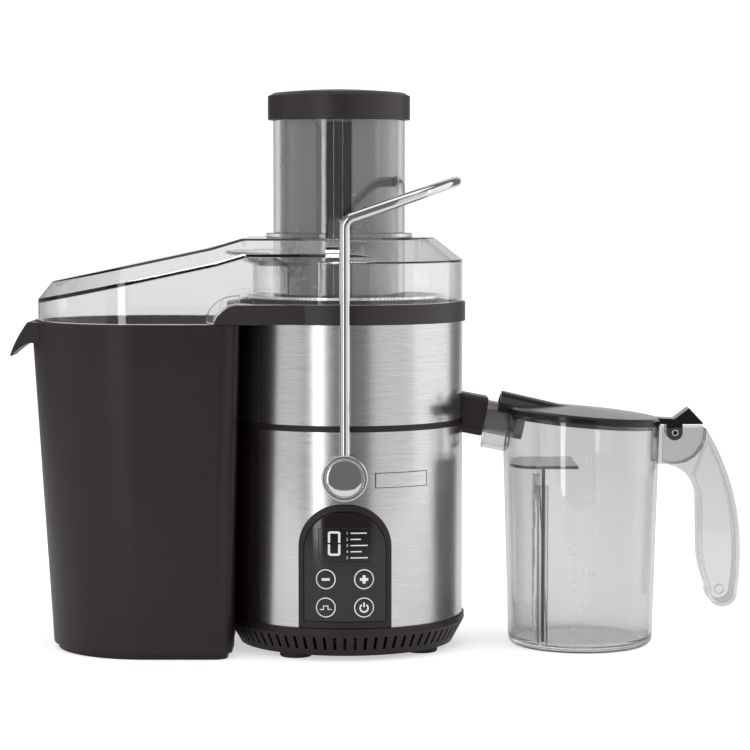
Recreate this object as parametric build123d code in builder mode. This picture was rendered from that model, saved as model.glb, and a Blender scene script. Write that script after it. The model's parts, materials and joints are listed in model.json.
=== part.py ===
from build123d import *
from math import cos, radians, sin, sqrt, tan
import os

# Centrifugal juicer, millimetres, +Z up, standing on z = 0.
# The motor axis is vertical at x = body_x. The pulp container stands to its left (-X), the
# juice jug to its right (+X) and the control panel faces the front (-Y).

os.makedirs("parts", exist_ok=True)

# ---- clearances ----
snug = 0.1              # between parts that are pressed or clipped together
loose = 0.4             # between parts that slide past each other
bearing_fit = 0.05      # radial, round a turning shaft or pin

# ---- motor body ----
body_radius = 81.0      # outside of the steel wraps
steel_gauge = 0.8
wall = 3.5              # moulded housing wall
foot_height = 3.5
foot_radius = 11.0
foot_start = 57.0       # degrees round to the first foot
base_foot_radius = body_radius - 7.0    # base ring at its lower edge
foot_ring = base_foot_radius - foot_radius - 1.0    # radius on which the four feet stand
base_lip_radius = body_radius + 1.5
base_lip_z = 19.0
steel_base = 23.0       # lower edge of the lower steel wrap
seam_z = 155.5          # top of the motor body
seam_height = 4.0
wrap_top = 227.0        # top of the upper steel wrap
rim_top = 240.0         # top of the juice bowl's rim band
rim_radius = body_radius + 2.0
back_sector = 88.0      # degrees of bare black housing that face the pulp container

# ---- motor ----
shaft_radius = 4.0
bearing_radius = 11.0
bearing_width = 7.0
stator_side = 84.0
stator_z = 76.0
stator_height = 36.0
armature_radius = 23.0
air_gap = 0.5
commutator_radius = 12.0
commutator_z = 50.0
commutator_height = 14.0
fan_radius = 30.0
fan_z = 117.5
fan_height = 6.0
upper_bracket_z = 127.0
bracket_plate = 4.0
motor_post_ring = base_foot_radius - 16.0       # radius of the four motor posts
motor_post_top = 24.0
motor_mount_height = 10.0
deck_z = 148.5          # underside of the housing's top deck

# ---- juice bowl and filter basket ----
gutter_z = 155.0        # top of the bowl's floor
bowl_floor = 2.5
bowl_well_radius = body_radius - 8.0    # the lower step that sits down in the motor body
tower_radius = 14.0
tower_top = 166.0
coupling_radius = 20.0
coupling_top = 180.0
basket_z = 184.0        # underside of the basket's bottom ring
basket_rim_radius = bowl_well_radius - 7.0
basket_foot_radius = basket_rim_radius - 14.0
basket_top = 244.0
mesh_gauge = 0.8
grater_radius = basket_foot_radius - 4.0
tooth_height = 2.0

# ---- cover, feed chute and pusher ----
cover_wall = 2.5
dome_shoulder_z = 269.0
dome_top_z = 284.5
dome_top_radius = body_radius - 20.0
channel_half = body_radius - 2.0    # half the depth of the pulp channel
channel_reach = 213.6   # how far left of the motor axis it goes
channel_end_z = 242.0
channel_bevel = 10.0    # bevel all round the top of the cover
channel_rise = 26.0     # from its far end to the dome
apron_reach = 87.0      # the bowl's apron over the pulp container
apron_round = 16.0
chute_shift = 4.8       # the chute stands this far left of the motor axis
chute_radius = 45.8
chute_wall = 3.8
chute_top = 365.2
chute_gap = 7.0         # from the grater's disc to the chute's lower end
chute_flange_radius = chute_radius + 5.0
chute_flange = 3.0
pusher_radius = 40.8
pusher_wall = 2.0
pusher_cap_radius = 49.3
pusher_cap_side = 17.3
pusher_cap_crown = 4.0
key_width = 18.0
key_depth = 2.0
fin_thickness = 4.0
fin_inner_y = body_radius - 6.5
fin_left = 13.6
fin_right = 36.0
fin_peak = 3.0          # the fin's peak above the latch pin's centre

# ---- locking arm ----
arm_pivot_z = 125.7
arm_bar_radius = 3.65
arm_elbow_z = 297.0
arm_elbow_radius = 8.0
latch_pin_radius = 3.0
latch_drop = 1.5        # from the elbow's corner down to the latch pin
arm_handle_rise = 18.9      # degrees above level
arm_handle_length = 80.0
arm_corner_radius = 55.0
arm_hub_radius = 14.0
arm_cap_radius = 15.5
arm_cap_thickness = 3.0
pivot_pin_radius = 5.0

# ---- control panel ----
panel_half = 31.2
panel_inner_half = 27.4
panel_base = 23.3
panel_top = 107.0
panel_corner = panel_half - 2.0     # the bezel's top is nearly a half circle
face_inset = 5.0        # from the bezel's ends to the face's own
face_corner = panel_inner_half - 1.8
panel_proud = 1.6       # the bezel stands this far off the steel
panel_face_proud = 2.2
button_radius = 5.6
button_half_pitch = 12.85
button_rows = (37.8, 56.9)
button_proud = 0.9
button_length = 7.0
button_clearance = 0.35
window_base = 69.0
window_top = 91.0
window_half = 17.5
badge_centre_z = 122.9
badge_half_height = 5.4
badge_start = 14.5      # degrees round from the front
badge_sweep = 28.0

# ---- spout ----
spout_tilt = 11.0
spout_start = 80.0      # right of the motor axis
spout_axis_z = 163.1    # height of its axis at its start
socket_side = 27.0
socket_length = 17.0
nozzle_radius = 11.5
nozzle_bore = 9.5
nozzle_length = 45.0

# ---- juice jug ----
jug_from_body = 164.0
jug_top_radius = 54.8
jug_foot_radius = 50.1
jug_wall = 2.2
jug_floor = 5.0
jug_rim_z = 158.5       # at its axis
jug_rim_tilt = 5.0
jug_foot_round = 6.0
guide_height = 110.0    # of the ribs that hold the froth separator
receiver_half = 14.5
receiver_reach = 66.0   # from the jug's axis to the receiver's open end
receiver_drop = 5.0     # from the spout's axis to the receiver's own
handle_reach = 110.4
handle_half = 11.5
handle_foot_z = 27.2
handle_end_rise = 10.8  # height of the handle's round lower end
handle_bulge_z = 66.0
handle_grip = 28.7      # across the grip at its widest
handle_top_z = 152.2
handle_throat_z = 103.0
handle_border = 3.0
handle_web = 3.0
lid_pivot_x = 64.6      # from the jug's axis
lid_pivot_z = 149.0
lid_pin_radius = 2.9
lid_swing_radius = 22.0
lid_knuckle_half = 8.0
lid_radius = jug_top_radius + 0.8
lid_thickness = 4.0
lid_crown = 3.5
lid_plug_radius = jug_top_radius - jug_wall - 2.0
lid_gap = 0.4
hood_radius = 16.2
hood_bore = 13.7
hood_reach = 59.0       # from the jug's axis to the hood's open end
hood_axis_z = 161.8     # at that end
hood_tilt = 13.0
hood_bore_length = 26.0
tab_peak_x = 10.1       # from the lid's pivot
tab_peak_z = 16.8
tab_end_x = 19.9
tab_base_z = 5.6
separator_x = -28.2     # from the jug's axis
separator_gauge = 2.0
separator_shelf_z = 127.0
shelf_half_depth = 34.0

# ---- pulp container ----
bin_left = 218.0        # left of the motor axis
bin_right = body_radius - 10.0
bin_half = channel_half + 1.0
bin_foot_left = 204.0
bin_foot_right = bin_right + 6.0
bin_foot_half = bin_half - 8.0
bin_corner = bin_half - 3.0          # the far end is all but a half circle
bin_foot_corner = bin_foot_half - 3.0
bin_near_corner = 12.0
bin_foot_rise = 4.0
bin_top = 226.7
bin_wall = 2.5
bin_floor = 3.0
bin_body_gap = 3.0      # from the steel to the container's hollowed side
lip_reach = 232.8
lip_z = 203.0

# ---- places worked out from those ----
body_x = (lip_reach - jug_from_body - handle_reach) / 2
core_radius = body_radius - steel_gauge - snug
lower_bracket_z = motor_post_top + motor_mount_height
inner_radius = core_radius - wall
seam_top = seam_z + seam_height
deck_thickness = wall
bowl_seat_z = seam_top + snug
grater_z = basket_z + 4.0
chute_base = grater_z + chute_gap
arm_y = rim_radius + 0.6 + arm_bar_radius
jug_x = body_x + jug_from_body
chute_x = body_x - chute_shift
lid_x = jug_x + lid_pivot_x


def level(z, x=body_x):
    """Level sketch plane at height z, centred on an upright axis at x."""
    return Plane(origin=(x, 0, z))


def upright(y=0.0, x=body_x):
    """Upright sketch plane seen from the front, y behind the axis at x."""
    return Plane(origin=(x, y, 0), x_dir=(1, 0, 0), z_dir=(0, -1, 0))


def radial(angle):
    """Upright sketch plane through the motor axis, turned to an angle round it."""
    a = radians(angle)
    return Plane(origin=(body_x, 0, 0), x_dir=(cos(a), sin(a), 0), z_dir=(sin(a), -cos(a), 0))


def spindle(x=body_x):
    """The upright axis at x."""
    return Axis((x, 0, 0), (0, 0, 1))


def ring(inner, outer, low, high, start=0.0, sweep=360.0):
    """A ring, or a sector of one, round the motor axis."""
    with BuildPart() as sector:
        with BuildSketch(radial(start)):
            with Locations(((inner + outer) / 2, (low + high) / 2)):
                Rectangle(outer - inner, high - low)
        revolve(axis=spindle(), revolution_arc=sweep)
    return sector.part


def arch(half, low, high, corner):
    """An upright slab with two round top corners, from the motor axis out to the front."""
    with BuildPart() as slab:
        with BuildSketch(upright()) as outline:
            with Locations((0, (low + high) / 2)):
                Rectangle(2 * half, high - low)
            fillet(outline.vertices().group_by(Axis.Y)[-1], corner)
        extrude(amount=body_radius + 2 * wall)
    return slab.part


def finish(part, name):
    """Name a finished piece and write it."""
    part.label = name
    export_step(part, f"parts/{name}.step")


# ======== motor body ========

with BuildPart() as feet:
    with BuildSketch(level(0)):
        with PolarLocations(foot_ring, 4, start_angle=foot_start):
            Circle(foot_radius)
    extrude(amount=foot_height)
    chamfer(feet.edges().group_by(Axis.Z)[0], 0.8)
finish(feet.part, "feet")

plate_top = foot_height + 3.0
plate_radius = base_foot_radius - 3.0 - snug
with BuildPart() as bottom_plate:
    with BuildSketch(level(foot_height)):
        Circle(plate_radius)
        with PolarLocations(foot_ring, 4, start_angle=foot_start):
            Circle(2.0, mode=Mode.SUBTRACT)
        with PolarLocations(28.0, 18):
            SlotOverall(22.0, 3.0, mode=Mode.SUBTRACT)
    extrude(amount=plate_top - foot_height)
    with BuildSketch(level(plate_top)):
        with PolarLocations(motor_post_ring, 4, start_angle=15.0):
            Circle(6.5)
    extrude(amount=motor_post_top - plate_top)
    with BuildSketch(level(plate_top)):
        with PolarLocations(motor_post_ring, 4, start_angle=15.0):
            Circle(2.2)
    extrude(amount=motor_post_top - plate_top, mode=Mode.SUBTRACT)
finish(bottom_plate.part, "bottom_plate")

with BuildPart() as foot_screws:
    with BuildSketch(level(foot_height)):
        with PolarLocations(foot_ring, 4, start_angle=foot_start):
            Circle(2.0 - snug)
    extrude(amount=7.0)
    with BuildSketch(level(plate_top + snug)):
        with PolarLocations(foot_ring, 4, start_angle=foot_start):
            Circle(4.0)
    extrude(amount=2.4)
finish(foot_screws.part, "foot_screws")

vent_low = foot_height + 4.5
vent_high = base_lip_z - 2.0
with BuildPart() as base_ring:
    with BuildSketch(upright()):
        with BuildLine():
            Polyline(
                (base_foot_radius, foot_height),
                (base_lip_radius, base_lip_z),
                (base_lip_radius, steel_base),
                (inner_radius - 2.0, steel_base),
                (inner_radius - 2.0, steel_base - 3.0),
                (base_lip_radius - 3.5, steel_base - 3.0),
                (base_foot_radius - 3.0, plate_top - 0.5),
                (base_foot_radius - 3.0, foot_height),
                close=True,
            )
        make_face()
    revolve(axis=spindle())
    with Locations((body_x, 0, (vent_low + vent_high) / 2)):
        with PolarLocations(base_foot_radius + 3.0, 72):
            Box(16.0, 2.2, vent_high - vent_low, mode=Mode.SUBTRACT)
finish(base_ring.part, "base_ring")

core_base = steel_base + snug
half_sector = back_sector / 2
lower_back = ring(core_radius - 1.0, body_radius, core_base, seam_z, 180.0 - half_sector, back_sector)
panel_opening = arch(window_half + 5.0, panel_base + 5.0, window_top + 4.0, 4.0)
pin_reach = body_radius + wall
gland_radius = 6.0
gland_z = 34.0
switch_half = 10.0
switch_outer_y = inner_radius - 11.5
switch_depth = 10.0

with BuildPart() as spout_space:
    with BuildSketch(Plane(
        origin=(body_x + spout_start, 0, spout_axis_z),
        x_dir=(0, 1, 0),
        z_dir=(cos(radians(spout_tilt)), 0, -sin(radians(spout_tilt))),
    )):
        RectangleRounded(socket_side + 2 * loose, socket_side + 2 * loose, 4.0)
    extrude(amount=socket_length)
    extrude(spout_space.faces().sort_by(Axis.X)[0], amount=8.0)

with BuildPart() as housing_core:
    with BuildSketch(upright()):
        with BuildLine():
            Polyline(
                (core_radius, core_base),
                (core_radius, seam_z),
                (inner_radius, seam_z),
                (inner_radius, deck_z + deck_thickness),
                (tower_radius, deck_z + deck_thickness),
                (tower_radius, deck_z),
                (inner_radius, deck_z),
                (inner_radius, core_base),
                close=True,
            )
        make_face()
    revolve(axis=spindle())
    add(lower_back)
    add(panel_opening, mode=Mode.SUBTRACT)
    with BuildSketch(upright(y=pin_reach)):
        with Locations((0, arm_pivot_z)):
            Circle(pivot_pin_radius + snug)
    extrude(amount=2 * pin_reach, mode=Mode.SUBTRACT)
    with BuildSketch(upright(y=pin_reach)):
        with Locations((0, gland_z)):
            Circle(gland_radius + snug)
    extrude(amount=pin_reach, mode=Mode.SUBTRACT)
    rib_y = (core_radius - 2.0 + switch_outer_y - switch_depth) / 2
    with Locations((body_x + switch_half + 1.4, -rib_y, arm_pivot_z)):
        Box(2.6, 2 * (core_radius - 2.0 - rib_y), 12.0)
    add(spout_space.part, mode=Mode.SUBTRACT)
finish(housing_core.part, "housing_core")

wrap_start = half_sector - 180.0 + 0.2
wrap_sweep = 360.0 - back_sector - 0.4
wrap_inner = body_radius - steel_gauge
bezel_space = arch(panel_half + snug, panel_base - 5.0, panel_top + snug, panel_corner + snug)
with BuildPart() as lower_steel_wrap:
    add(ring(wrap_inner, body_radius, core_base, seam_z - snug, wrap_start, wrap_sweep))
    add(bezel_space, mode=Mode.SUBTRACT)
    with BuildSketch(upright(y=pin_reach)):
        with Locations((0, arm_pivot_z)):
            Circle(pivot_pin_radius + loose)
    extrude(amount=2 * pin_reach, mode=Mode.SUBTRACT)
    with BuildSketch(upright(y=pin_reach)):
        with Locations((0, gland_z)):
            Circle(gland_radius + loose)
    extrude(amount=pin_reach, mode=Mode.SUBTRACT)
    add(spout_space.part, mode=Mode.SUBTRACT)
finish(lower_steel_wrap.part, "lower_steel_wrap")

with BuildPart() as seam_band:
    add(ring(bowl_well_radius + snug, body_radius - 0.6, seam_z, seam_top))
    add(spout_space.part, mode=Mode.SUBTRACT)
finish(seam_band.part, "seam_band")

with BuildPart() as upper_steel_wrap:
    add(ring(wrap_inner, body_radius, bowl_seat_z, wrap_top - snug, wrap_start, wrap_sweep))
    add(spout_space.part, mode=Mode.SUBTRACT)
finish(upper_steel_wrap.part, "upper_steel_wrap")

badge_low = badge_centre_z - badge_half_height
badge_high = badge_centre_z + badge_half_height
badge_ring = (body_radius + 0.05, body_radius + 0.55)
with BuildPart() as badge_plate:
    add(ring(*badge_ring, badge_low, badge_high, badge_start - 90.0, badge_sweep))
finish(badge_plate.part, "badge_plate")


# ======== motor and its mounting ========

with BuildPart() as motor_mounts:
    with BuildSketch(level(motor_post_top)):
        with PolarLocations(motor_post_ring, 4, start_angle=15.0):
            Circle(7.5)
            Circle(2.2, mode=Mode.SUBTRACT)
    extrude(amount=motor_mount_height)
finish(motor_mounts.part, "motor_mounts")

hub_radius = bearing_radius + 4.0
pillar_x = stator_side / 2 - 5.0
bracket_top = lower_bracket_z + bracket_plate
with BuildPart() as lower_bracket:
    with BuildSketch(level(lower_bracket_z)):
        Circle(stator_side / 2 + 2.0)
        with PolarLocations(motor_post_ring, 4, start_angle=15.0):
            Circle(7.5)
        with PolarLocations(motor_post_ring / 2, 4, start_angle=15.0):
            Rectangle(motor_post_ring, 11.0)
        with PolarLocations(motor_post_ring, 4, start_angle=15.0):
            Circle(2.2, mode=Mode.SUBTRACT)
    extrude(amount=bracket_plate)
    with BuildSketch(level(lower_bracket_z)):
        Circle(hub_radius)
    extrude(amount=bearing_width + 0.5)
    with BuildSketch(level(bracket_top)):
        with Locations((pillar_x, 0), (-pillar_x, 0)):
            Rectangle(8.0, 24.0)
    extrude(amount=stator_z - bracket_top)
    with BuildSketch(level(lower_bracket_z)):
        Circle(bearing_radius + snug)
    extrude(amount=bearing_width + 0.5, mode=Mode.SUBTRACT)
finish(lower_bracket.part, "lower_bracket")

with BuildPart() as motor_screws:
    with BuildSketch(level(bracket_top)):
        with PolarLocations(motor_post_ring, 4, start_angle=15.0):
            Circle(4.2)
    extrude(amount=3.0)
    with BuildSketch(level(bracket_top)):
        with PolarLocations(motor_post_ring, 4, start_angle=15.0):
            Circle(2.0)
    extrude(amount=plate_top - bracket_top)
finish(motor_screws.part, "motor_screws")

stator_top = stator_z + stator_height
coil_inner = armature_radius + 2 * air_gap
coil_outer = coil_inner + 9.0
stator_window_left = ring(armature_radius, coil_outer + 0.5, stator_z, stator_top, 140.0, 80.0)
stator_window_right = ring(armature_radius, coil_outer + 0.5, stator_z, stator_top, -40.0, 80.0)
with BuildPart() as stator:
    with BuildSketch(level(stator_z)):
        RectangleRounded(stator_side, stator_side, 14.0)
        Circle(armature_radius + air_gap, mode=Mode.SUBTRACT)
    extrude(amount=stator_height)
    add(stator_window_left, mode=Mode.SUBTRACT)
    add(stator_window_right, mode=Mode.SUBTRACT)
finish(stator.part, "stator")

coil_overhang = 5.0
coil_low = stator_z - coil_overhang
coil_high = stator_top + coil_overhang
coil_rings = [
    ring(coil_inner, coil_outer, coil_low, stator_z - 0.2, 18.0, 144.0),
    ring(coil_inner, coil_outer, stator_top + 0.2, coil_high, 18.0, 144.0),
    ring(coil_inner, coil_outer, coil_low, coil_high, 18.0, 20.0),
    ring(coil_inner, coil_outer, coil_low, coil_high, 142.0, 20.0),
]
with BuildPart() as field_coils:
    add(coil_rings)
    mirror(about=Plane.XZ)
finish(field_coils.part, "field_coils")

upper_hub_z = fan_z + fan_height + 1.5
upper_bracket_top = upper_bracket_z + bracket_plate
with BuildPart() as upper_bracket:
    with BuildSketch(level(upper_bracket_z)):
        RectangleRounded(stator_side, 30.0, 6.0)
        Circle(hub_radius)
    extrude(amount=bracket_plate)
    with BuildSketch(level(upper_bracket_z)):
        Circle(hub_radius)
    extrude(amount=bearing_width + 0.5)
    with BuildSketch(level(stator_top)):
        with Locations((pillar_x, 0), (-pillar_x, 0)):
            Rectangle(8.0, 24.0)
    extrude(amount=upper_bracket_z - stator_top)
    with BuildSketch(level(upper_bracket_z)):
        Circle(bearing_radius + snug)
    extrude(amount=bearing_width + 0.5, mode=Mode.SUBTRACT)
finish(upper_bracket.part, "upper_bracket")


def bearing(z, name):
    """A ball bearing drawn as one ring, with its seat grooved between the races."""
    with BuildPart() as race:
        with BuildSketch(level(z)):
            Circle(bearing_radius)
            Circle(shaft_radius + bearing_fit, mode=Mode.SUBTRACT)
        extrude(amount=bearing_width)
        with BuildSketch(level(z + bearing_width)):
            Circle(bearing_radius - 2.0)
            Circle(shaft_radius + 2.0, mode=Mode.SUBTRACT)
        extrude(amount=-0.6, mode=Mode.SUBTRACT)
    finish(race.part, name)


bearing(lower_bracket_z + 0.2, "lower_bearing")
bearing(upper_bracket_z + 0.2, "upper_bearing")

brush_z = commutator_z + commutator_height / 2
brush_start = commutator_radius + 0.3
holder_reach = 40.0
with BuildPart() as carbon_brushes:
    with Locations((body_x, -(brush_start + 9.0), brush_z), (body_x, brush_start + 9.0, brush_z)):
        Box(6.0, 18.0, 8.0)
finish(carbon_brushes.part, "carbon_brushes")

holder_start = brush_start + 3.0
with BuildPart() as brush_holders:
    with Locations((body_x, (holder_start + holder_reach) / 2, brush_z)):
        Box(11.0, holder_reach - holder_start, 12.0)
    with Locations((body_x, holder_reach - 4.0, (bracket_top + brush_z) / 2)):
        Box(11.0, 8.0, brush_z - bracket_top)
    with Locations((body_x, brush_start + 9.0, brush_z)):
        Box(6.0 + 2 * snug, 18.0 + 2 * snug, 8.0 + 2 * snug, mode=Mode.SUBTRACT)
    mirror(about=Plane.XZ)
finish(brush_holders.part, "brush_holders")

# the turning assembly, from the bottom of the shaft to its coupling
shaft_top = coupling_top - 3.0
with BuildPart() as motor_shaft:
    with BuildSketch(level(lower_bracket_z - 2.0)):
        Circle(shaft_radius)
    extrude(amount=shaft_top - lower_bracket_z + 2.0)
    chamfer(motor_shaft.edges(), 0.5)
finish(motor_shaft.part, "motor_shaft")

with BuildPart() as commutator:
    with BuildSketch(level(commutator_z)):
        Circle(commutator_radius)
        Circle(shaft_radius + snug, mode=Mode.SUBTRACT)
    extrude(amount=commutator_height)
    with Locations((body_x, 0, commutator_z + commutator_height / 2)):
        with PolarLocations(commutator_radius, 20):
            Box(2.4, 0.6, commutator_height, mode=Mode.SUBTRACT)
finish(commutator.part, "commutator")

with BuildPart() as armature:
    with BuildSketch(level(stator_z)):
        Circle(armature_radius)
        Circle(shaft_radius + snug, mode=Mode.SUBTRACT)
        with PolarLocations(armature_radius - 4.0, 12):
            SlotOverall(10.0, 3.4, mode=Mode.SUBTRACT)
    extrude(amount=stator_height)
finish(armature.part, "armature")

with BuildPart() as armature_windings:
    with BuildSketch(level(stator_z - snug)):
        Circle(armature_radius - 2.5)
        Circle(shaft_radius + snug, mode=Mode.SUBTRACT)
    extrude(amount=-6.0)
    with BuildSketch(level(stator_top + snug)):
        Circle(armature_radius - 2.5)
        Circle(shaft_radius + snug, mode=Mode.SUBTRACT)
    extrude(amount=4.0)
    fillet(armature_windings.edges().filter_by(GeomType.CIRCLE).group_by(SortBy.RADIUS)[-1], 1.2)
finish(armature_windings.part, "armature_windings")

with BuildPart() as cooling_fan:
    with BuildSketch(level(fan_z)):
        Circle(fan_radius)
        Circle(shaft_radius + snug, mode=Mode.SUBTRACT)
    extrude(amount=1.5)
    with BuildSketch(level(fan_z + 1.5)):
        Circle(8.0)
        Circle(shaft_radius + snug, mode=Mode.SUBTRACT)
        with PolarLocations((fan_radius + 8.0) / 2, 9, start_angle=20.0):
            with Locations(Rotation(0, 0, 35.0)):
                Rectangle(18.0, 1.4)
    extrude(amount=fan_height - 1.5)
finish(cooling_fan.part, "cooling_fan")

with BuildPart() as shaft_seal:
    with BuildSketch(level(deck_z)):
        Circle(tower_radius - snug)
        Circle(shaft_radius + 0.3, mode=Mode.SUBTRACT)
    extrude(amount=deck_thickness)
finish(shaft_seal.part, "shaft_seal")


def along_spout(start):
    """Sketch plane across the spout, start millimetres along its axis."""
    t = radians(spout_tilt)
    return Plane(
        origin=(body_x + spout_start + start * cos(t), 0, spout_axis_z - start * sin(t)),
        x_dir=(0, 1, 0),
        z_dir=(cos(t), 0, -sin(t)),
    )


# ======== juice bowl and spout ========

bowl_ledge = bowl_seat_z + wall
back_upper = ring(core_radius - 1.0, body_radius, bowl_seat_z, wrap_top, 180.0 - half_sector, back_sector)
apron_base = bin_top + 0.6
apron_half = channel_half - loose


def apron_block(inset, half):
    """The apron's outline in side view, drawn in by inset, as a slab across the bowl."""
    with BuildPart() as block:
        with BuildSketch(upright(y=half)):
            with BuildLine():
                left = -apron_reach + inset
                top = rim_top - inset
                base = apron_base
                bend = apron_round - inset
                Line((0, base), (left, base))
                TangentArc((left + bend, top), (left, base), tangent=(-1, 0))
                Line((left + bend, top), (0, top))
                Line((0, top), (0, base))
            make_face()
        extrude(amount=2 * half)
    return block.part


apron = apron_block(0.0, apron_half)
apron_hollow = apron_block(cover_wall, apron_half - cover_wall)
with BuildPart() as juice_bowl:
    add(apron)
    add(apron_hollow, mode=Mode.SUBTRACT)
    with Locations((body_x, 0, apron_base)):
        Cylinder(rim_radius - 1.0, 40.0, mode=Mode.SUBTRACT)
    with BuildSketch(upright()):
        with BuildLine():
            Polyline(
                (tower_radius - 3.0, gutter_z - bowl_floor),
                (bowl_well_radius, gutter_z - bowl_floor),
                (bowl_well_radius, bowl_seat_z),
                (core_radius, bowl_seat_z),
                (core_radius, wrap_top),
                (rim_radius, wrap_top),
                (rim_radius, rim_top),
                (inner_radius, rim_top),
                (inner_radius, bowl_ledge),
                (bowl_well_radius - bowl_floor, bowl_ledge),
                (bowl_well_radius - bowl_floor, gutter_z),
                (tower_radius, gutter_z),
                (tower_radius, tower_top),
                (tower_radius - 3.0, tower_top),
                close=True,
            )
        make_face()
    revolve(axis=spindle())
    add(back_upper)
    with BuildSketch(along_spout(-18.0)):
        Circle(nozzle_bore)
    extrude(amount=24.0, mode=Mode.SUBTRACT)
finish(juice_bowl.part, "juice_bowl")

with BuildPart() as spout_socket:
    with BuildSketch(along_spout(-6.0)):
        RectangleRounded(socket_side, socket_side, 4.0)
    extrude(amount=socket_length + 6.0)
    fillet(spout_socket.faces().sort_by(Axis.X)[-1].edges(), 1.2)
    with BuildSketch(along_spout(-6.0)):
        Circle(nozzle_radius + snug)
    extrude(amount=socket_length + 12.0, mode=Mode.SUBTRACT)
    with Locations((body_x, 0, spout_axis_z)):
        Cylinder(body_radius + snug, 3 * socket_side, mode=Mode.SUBTRACT)
finish(spout_socket.part, "spout_socket")

with BuildPart() as spout_nozzle:
    with BuildSketch(along_spout(0.0)):
        Circle(nozzle_radius)
    extrude(amount=nozzle_length)
    with Locations((body_x, 0, spout_axis_z)):
        Cylinder(core_radius + snug, 3 * socket_side, mode=Mode.SUBTRACT)
    with BuildSketch(along_spout(-6.0)):
        Circle(nozzle_bore)
    extrude(amount=nozzle_length + 12.0, mode=Mode.SUBTRACT)
finish(spout_nozzle.part, "spout_nozzle")

# ======== coupling, filter basket and grater ========

dog_ring = 13.0
dog_radius = 3.0
with BuildPart() as drive_coupling:
    with BuildSketch(level(tower_top - 6.0)):
        Circle(coupling_radius)
    extrude(amount=coupling_top - tower_top + 6.0)
    with BuildSketch(level(tower_top - 6.0)):
        Circle(tower_radius + 1.5)
    extrude(amount=10.0, mode=Mode.SUBTRACT)
    with BuildSketch(level(tower_top)):
        Circle(shaft_radius + snug)
    extrude(amount=shaft_top - tower_top + snug, mode=Mode.SUBTRACT)
    with BuildSketch(level(coupling_top)):
        with PolarLocations(dog_ring, 6):
            Circle(dog_radius)
    extrude(amount=basket_z - coupling_top - 0.5)
finish(drive_coupling.part, "drive_coupling")

with BuildPart() as basket_hub:
    with BuildSketch(level(coupling_top + snug)):
        Circle(coupling_radius + 2.0)
    extrude(amount=basket_z - coupling_top)
    with BuildSketch(level(basket_z)):
        Circle(basket_foot_radius + 1.0)
    extrude(amount=grater_z - basket_z - snug)
    with BuildSketch(level(coupling_top)):
        with PolarLocations(dog_ring, 6):
            Circle(dog_radius + 0.3)
    extrude(amount=basket_z - coupling_top, mode=Mode.SUBTRACT)
finish(basket_hub.part, "basket_hub")

with BuildPart() as filter_basket:
    with BuildSketch(upright()):
        with BuildLine():
            Polyline(
                (basket_foot_radius, grater_z),
                (basket_rim_radius, basket_top - 1.0),
                (basket_rim_radius + 2.5, basket_top - 1.0),
                (basket_rim_radius + 2.5, basket_top + mesh_gauge),
                (basket_rim_radius - mesh_gauge, basket_top + mesh_gauge),
                (basket_foot_radius - mesh_gauge, grater_z + mesh_gauge),
                (grater_radius + 0.5, grater_z + mesh_gauge),
                (grater_radius + 0.5, grater_z),
                close=True,
            )
        make_face()
    revolve(axis=spindle())
finish(filter_basket.part, "filter_basket")

with BuildPart() as grater_disc:
    with BuildSketch(level(grater_z)):
        Circle(grater_radius)
    extrude(amount=1.0)
    with Locations((body_x, 0, grater_z + 1.0)):
        for tooth_row in range(1, 8):
            with PolarLocations(6.0 * tooth_row, 5 * tooth_row, start_angle=11.0 * tooth_row):
                with Locations(Rotation(0, 0, 30.0)):
                    Box(3.0, 0.9, tooth_height, align=(Align.CENTER, Align.CENTER, Align.MIN))
finish(grater_disc.part, "grater_disc")


# ======== cover, feed chute and pusher ========

cover_base = bin_top + 0.5
dome_base = rim_top + 0.3


def channel_block(inset, half, base):
    """The pulp channel's outline with bevelled top edges, drawn in by inset."""
    reach = channel_reach - inset
    far_top = channel_end_z + 10.0 - inset
    near_top = dome_top_z - inset
    near = reach - channel_rise / tan(radians(12.0))
    with BuildPart() as block:
        with BuildSketch(upright(y=half)):
            with BuildLine():
                Polyline(
                    (-reach, base),
                    (-reach, far_top),
                    (-near, far_top + channel_rise),
                    (-near + 22.0, near_top),
                    (0, near_top),
                    (0, base),
                    close=True,
                )
            make_face()
        extrude(amount=2 * half)
        fillet(block.edges().filter_by(Axis.Z).sort_by(Axis.X)[:2], channel_half - 3.0 - inset)
        roof = block.edges().filter_by(lambda e: e.center().Z > far_top - 2.0)
        walls = roof.filter_by(lambda e: e.center().X < body_x - 1.0 and abs(e.center().Y) > 20.0)
        chamfer(walls + roof.filter_by(Axis.Y).sort_by(Axis.X)[:1], channel_bevel)
    return block.part


def dome_block(inset, base):
    """The round dome over the bowl, drawn in by inset, as a solid of revolution."""
    with BuildPart() as block:
        with BuildSketch(upright()):
            with BuildLine():
                Polyline(
                    (0, base),
                    (body_radius - inset, base),
                    (body_radius - inset, dome_shoulder_z - inset / 2),
                    (dome_top_radius - inset / 2, dome_top_z - inset),
                    (0, dome_top_z - inset),
                    close=True,
                )
            make_face()
        revolve(axis=spindle())
    return block.part


channel_shell = channel_block(0.0, channel_half, cover_base)
channel_space = channel_block(cover_wall, channel_half - cover_wall, cover_base - 1.0)
dome_shell = dome_block(0.0, dome_base)
dome_space = dome_block(cover_wall, dome_base - 1.0)
apron_clearance = apron_block(-loose, apron_half + 5.0)
latch_z = arm_elbow_z - latch_drop
fin_shoulder = latch_z - latch_pin_radius - loose
fin_stop = latch_pin_radius + loose
fin_outer_y = fin_inner_y + fin_thickness
fin_foot_z = dome_top_z - 12.0


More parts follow.
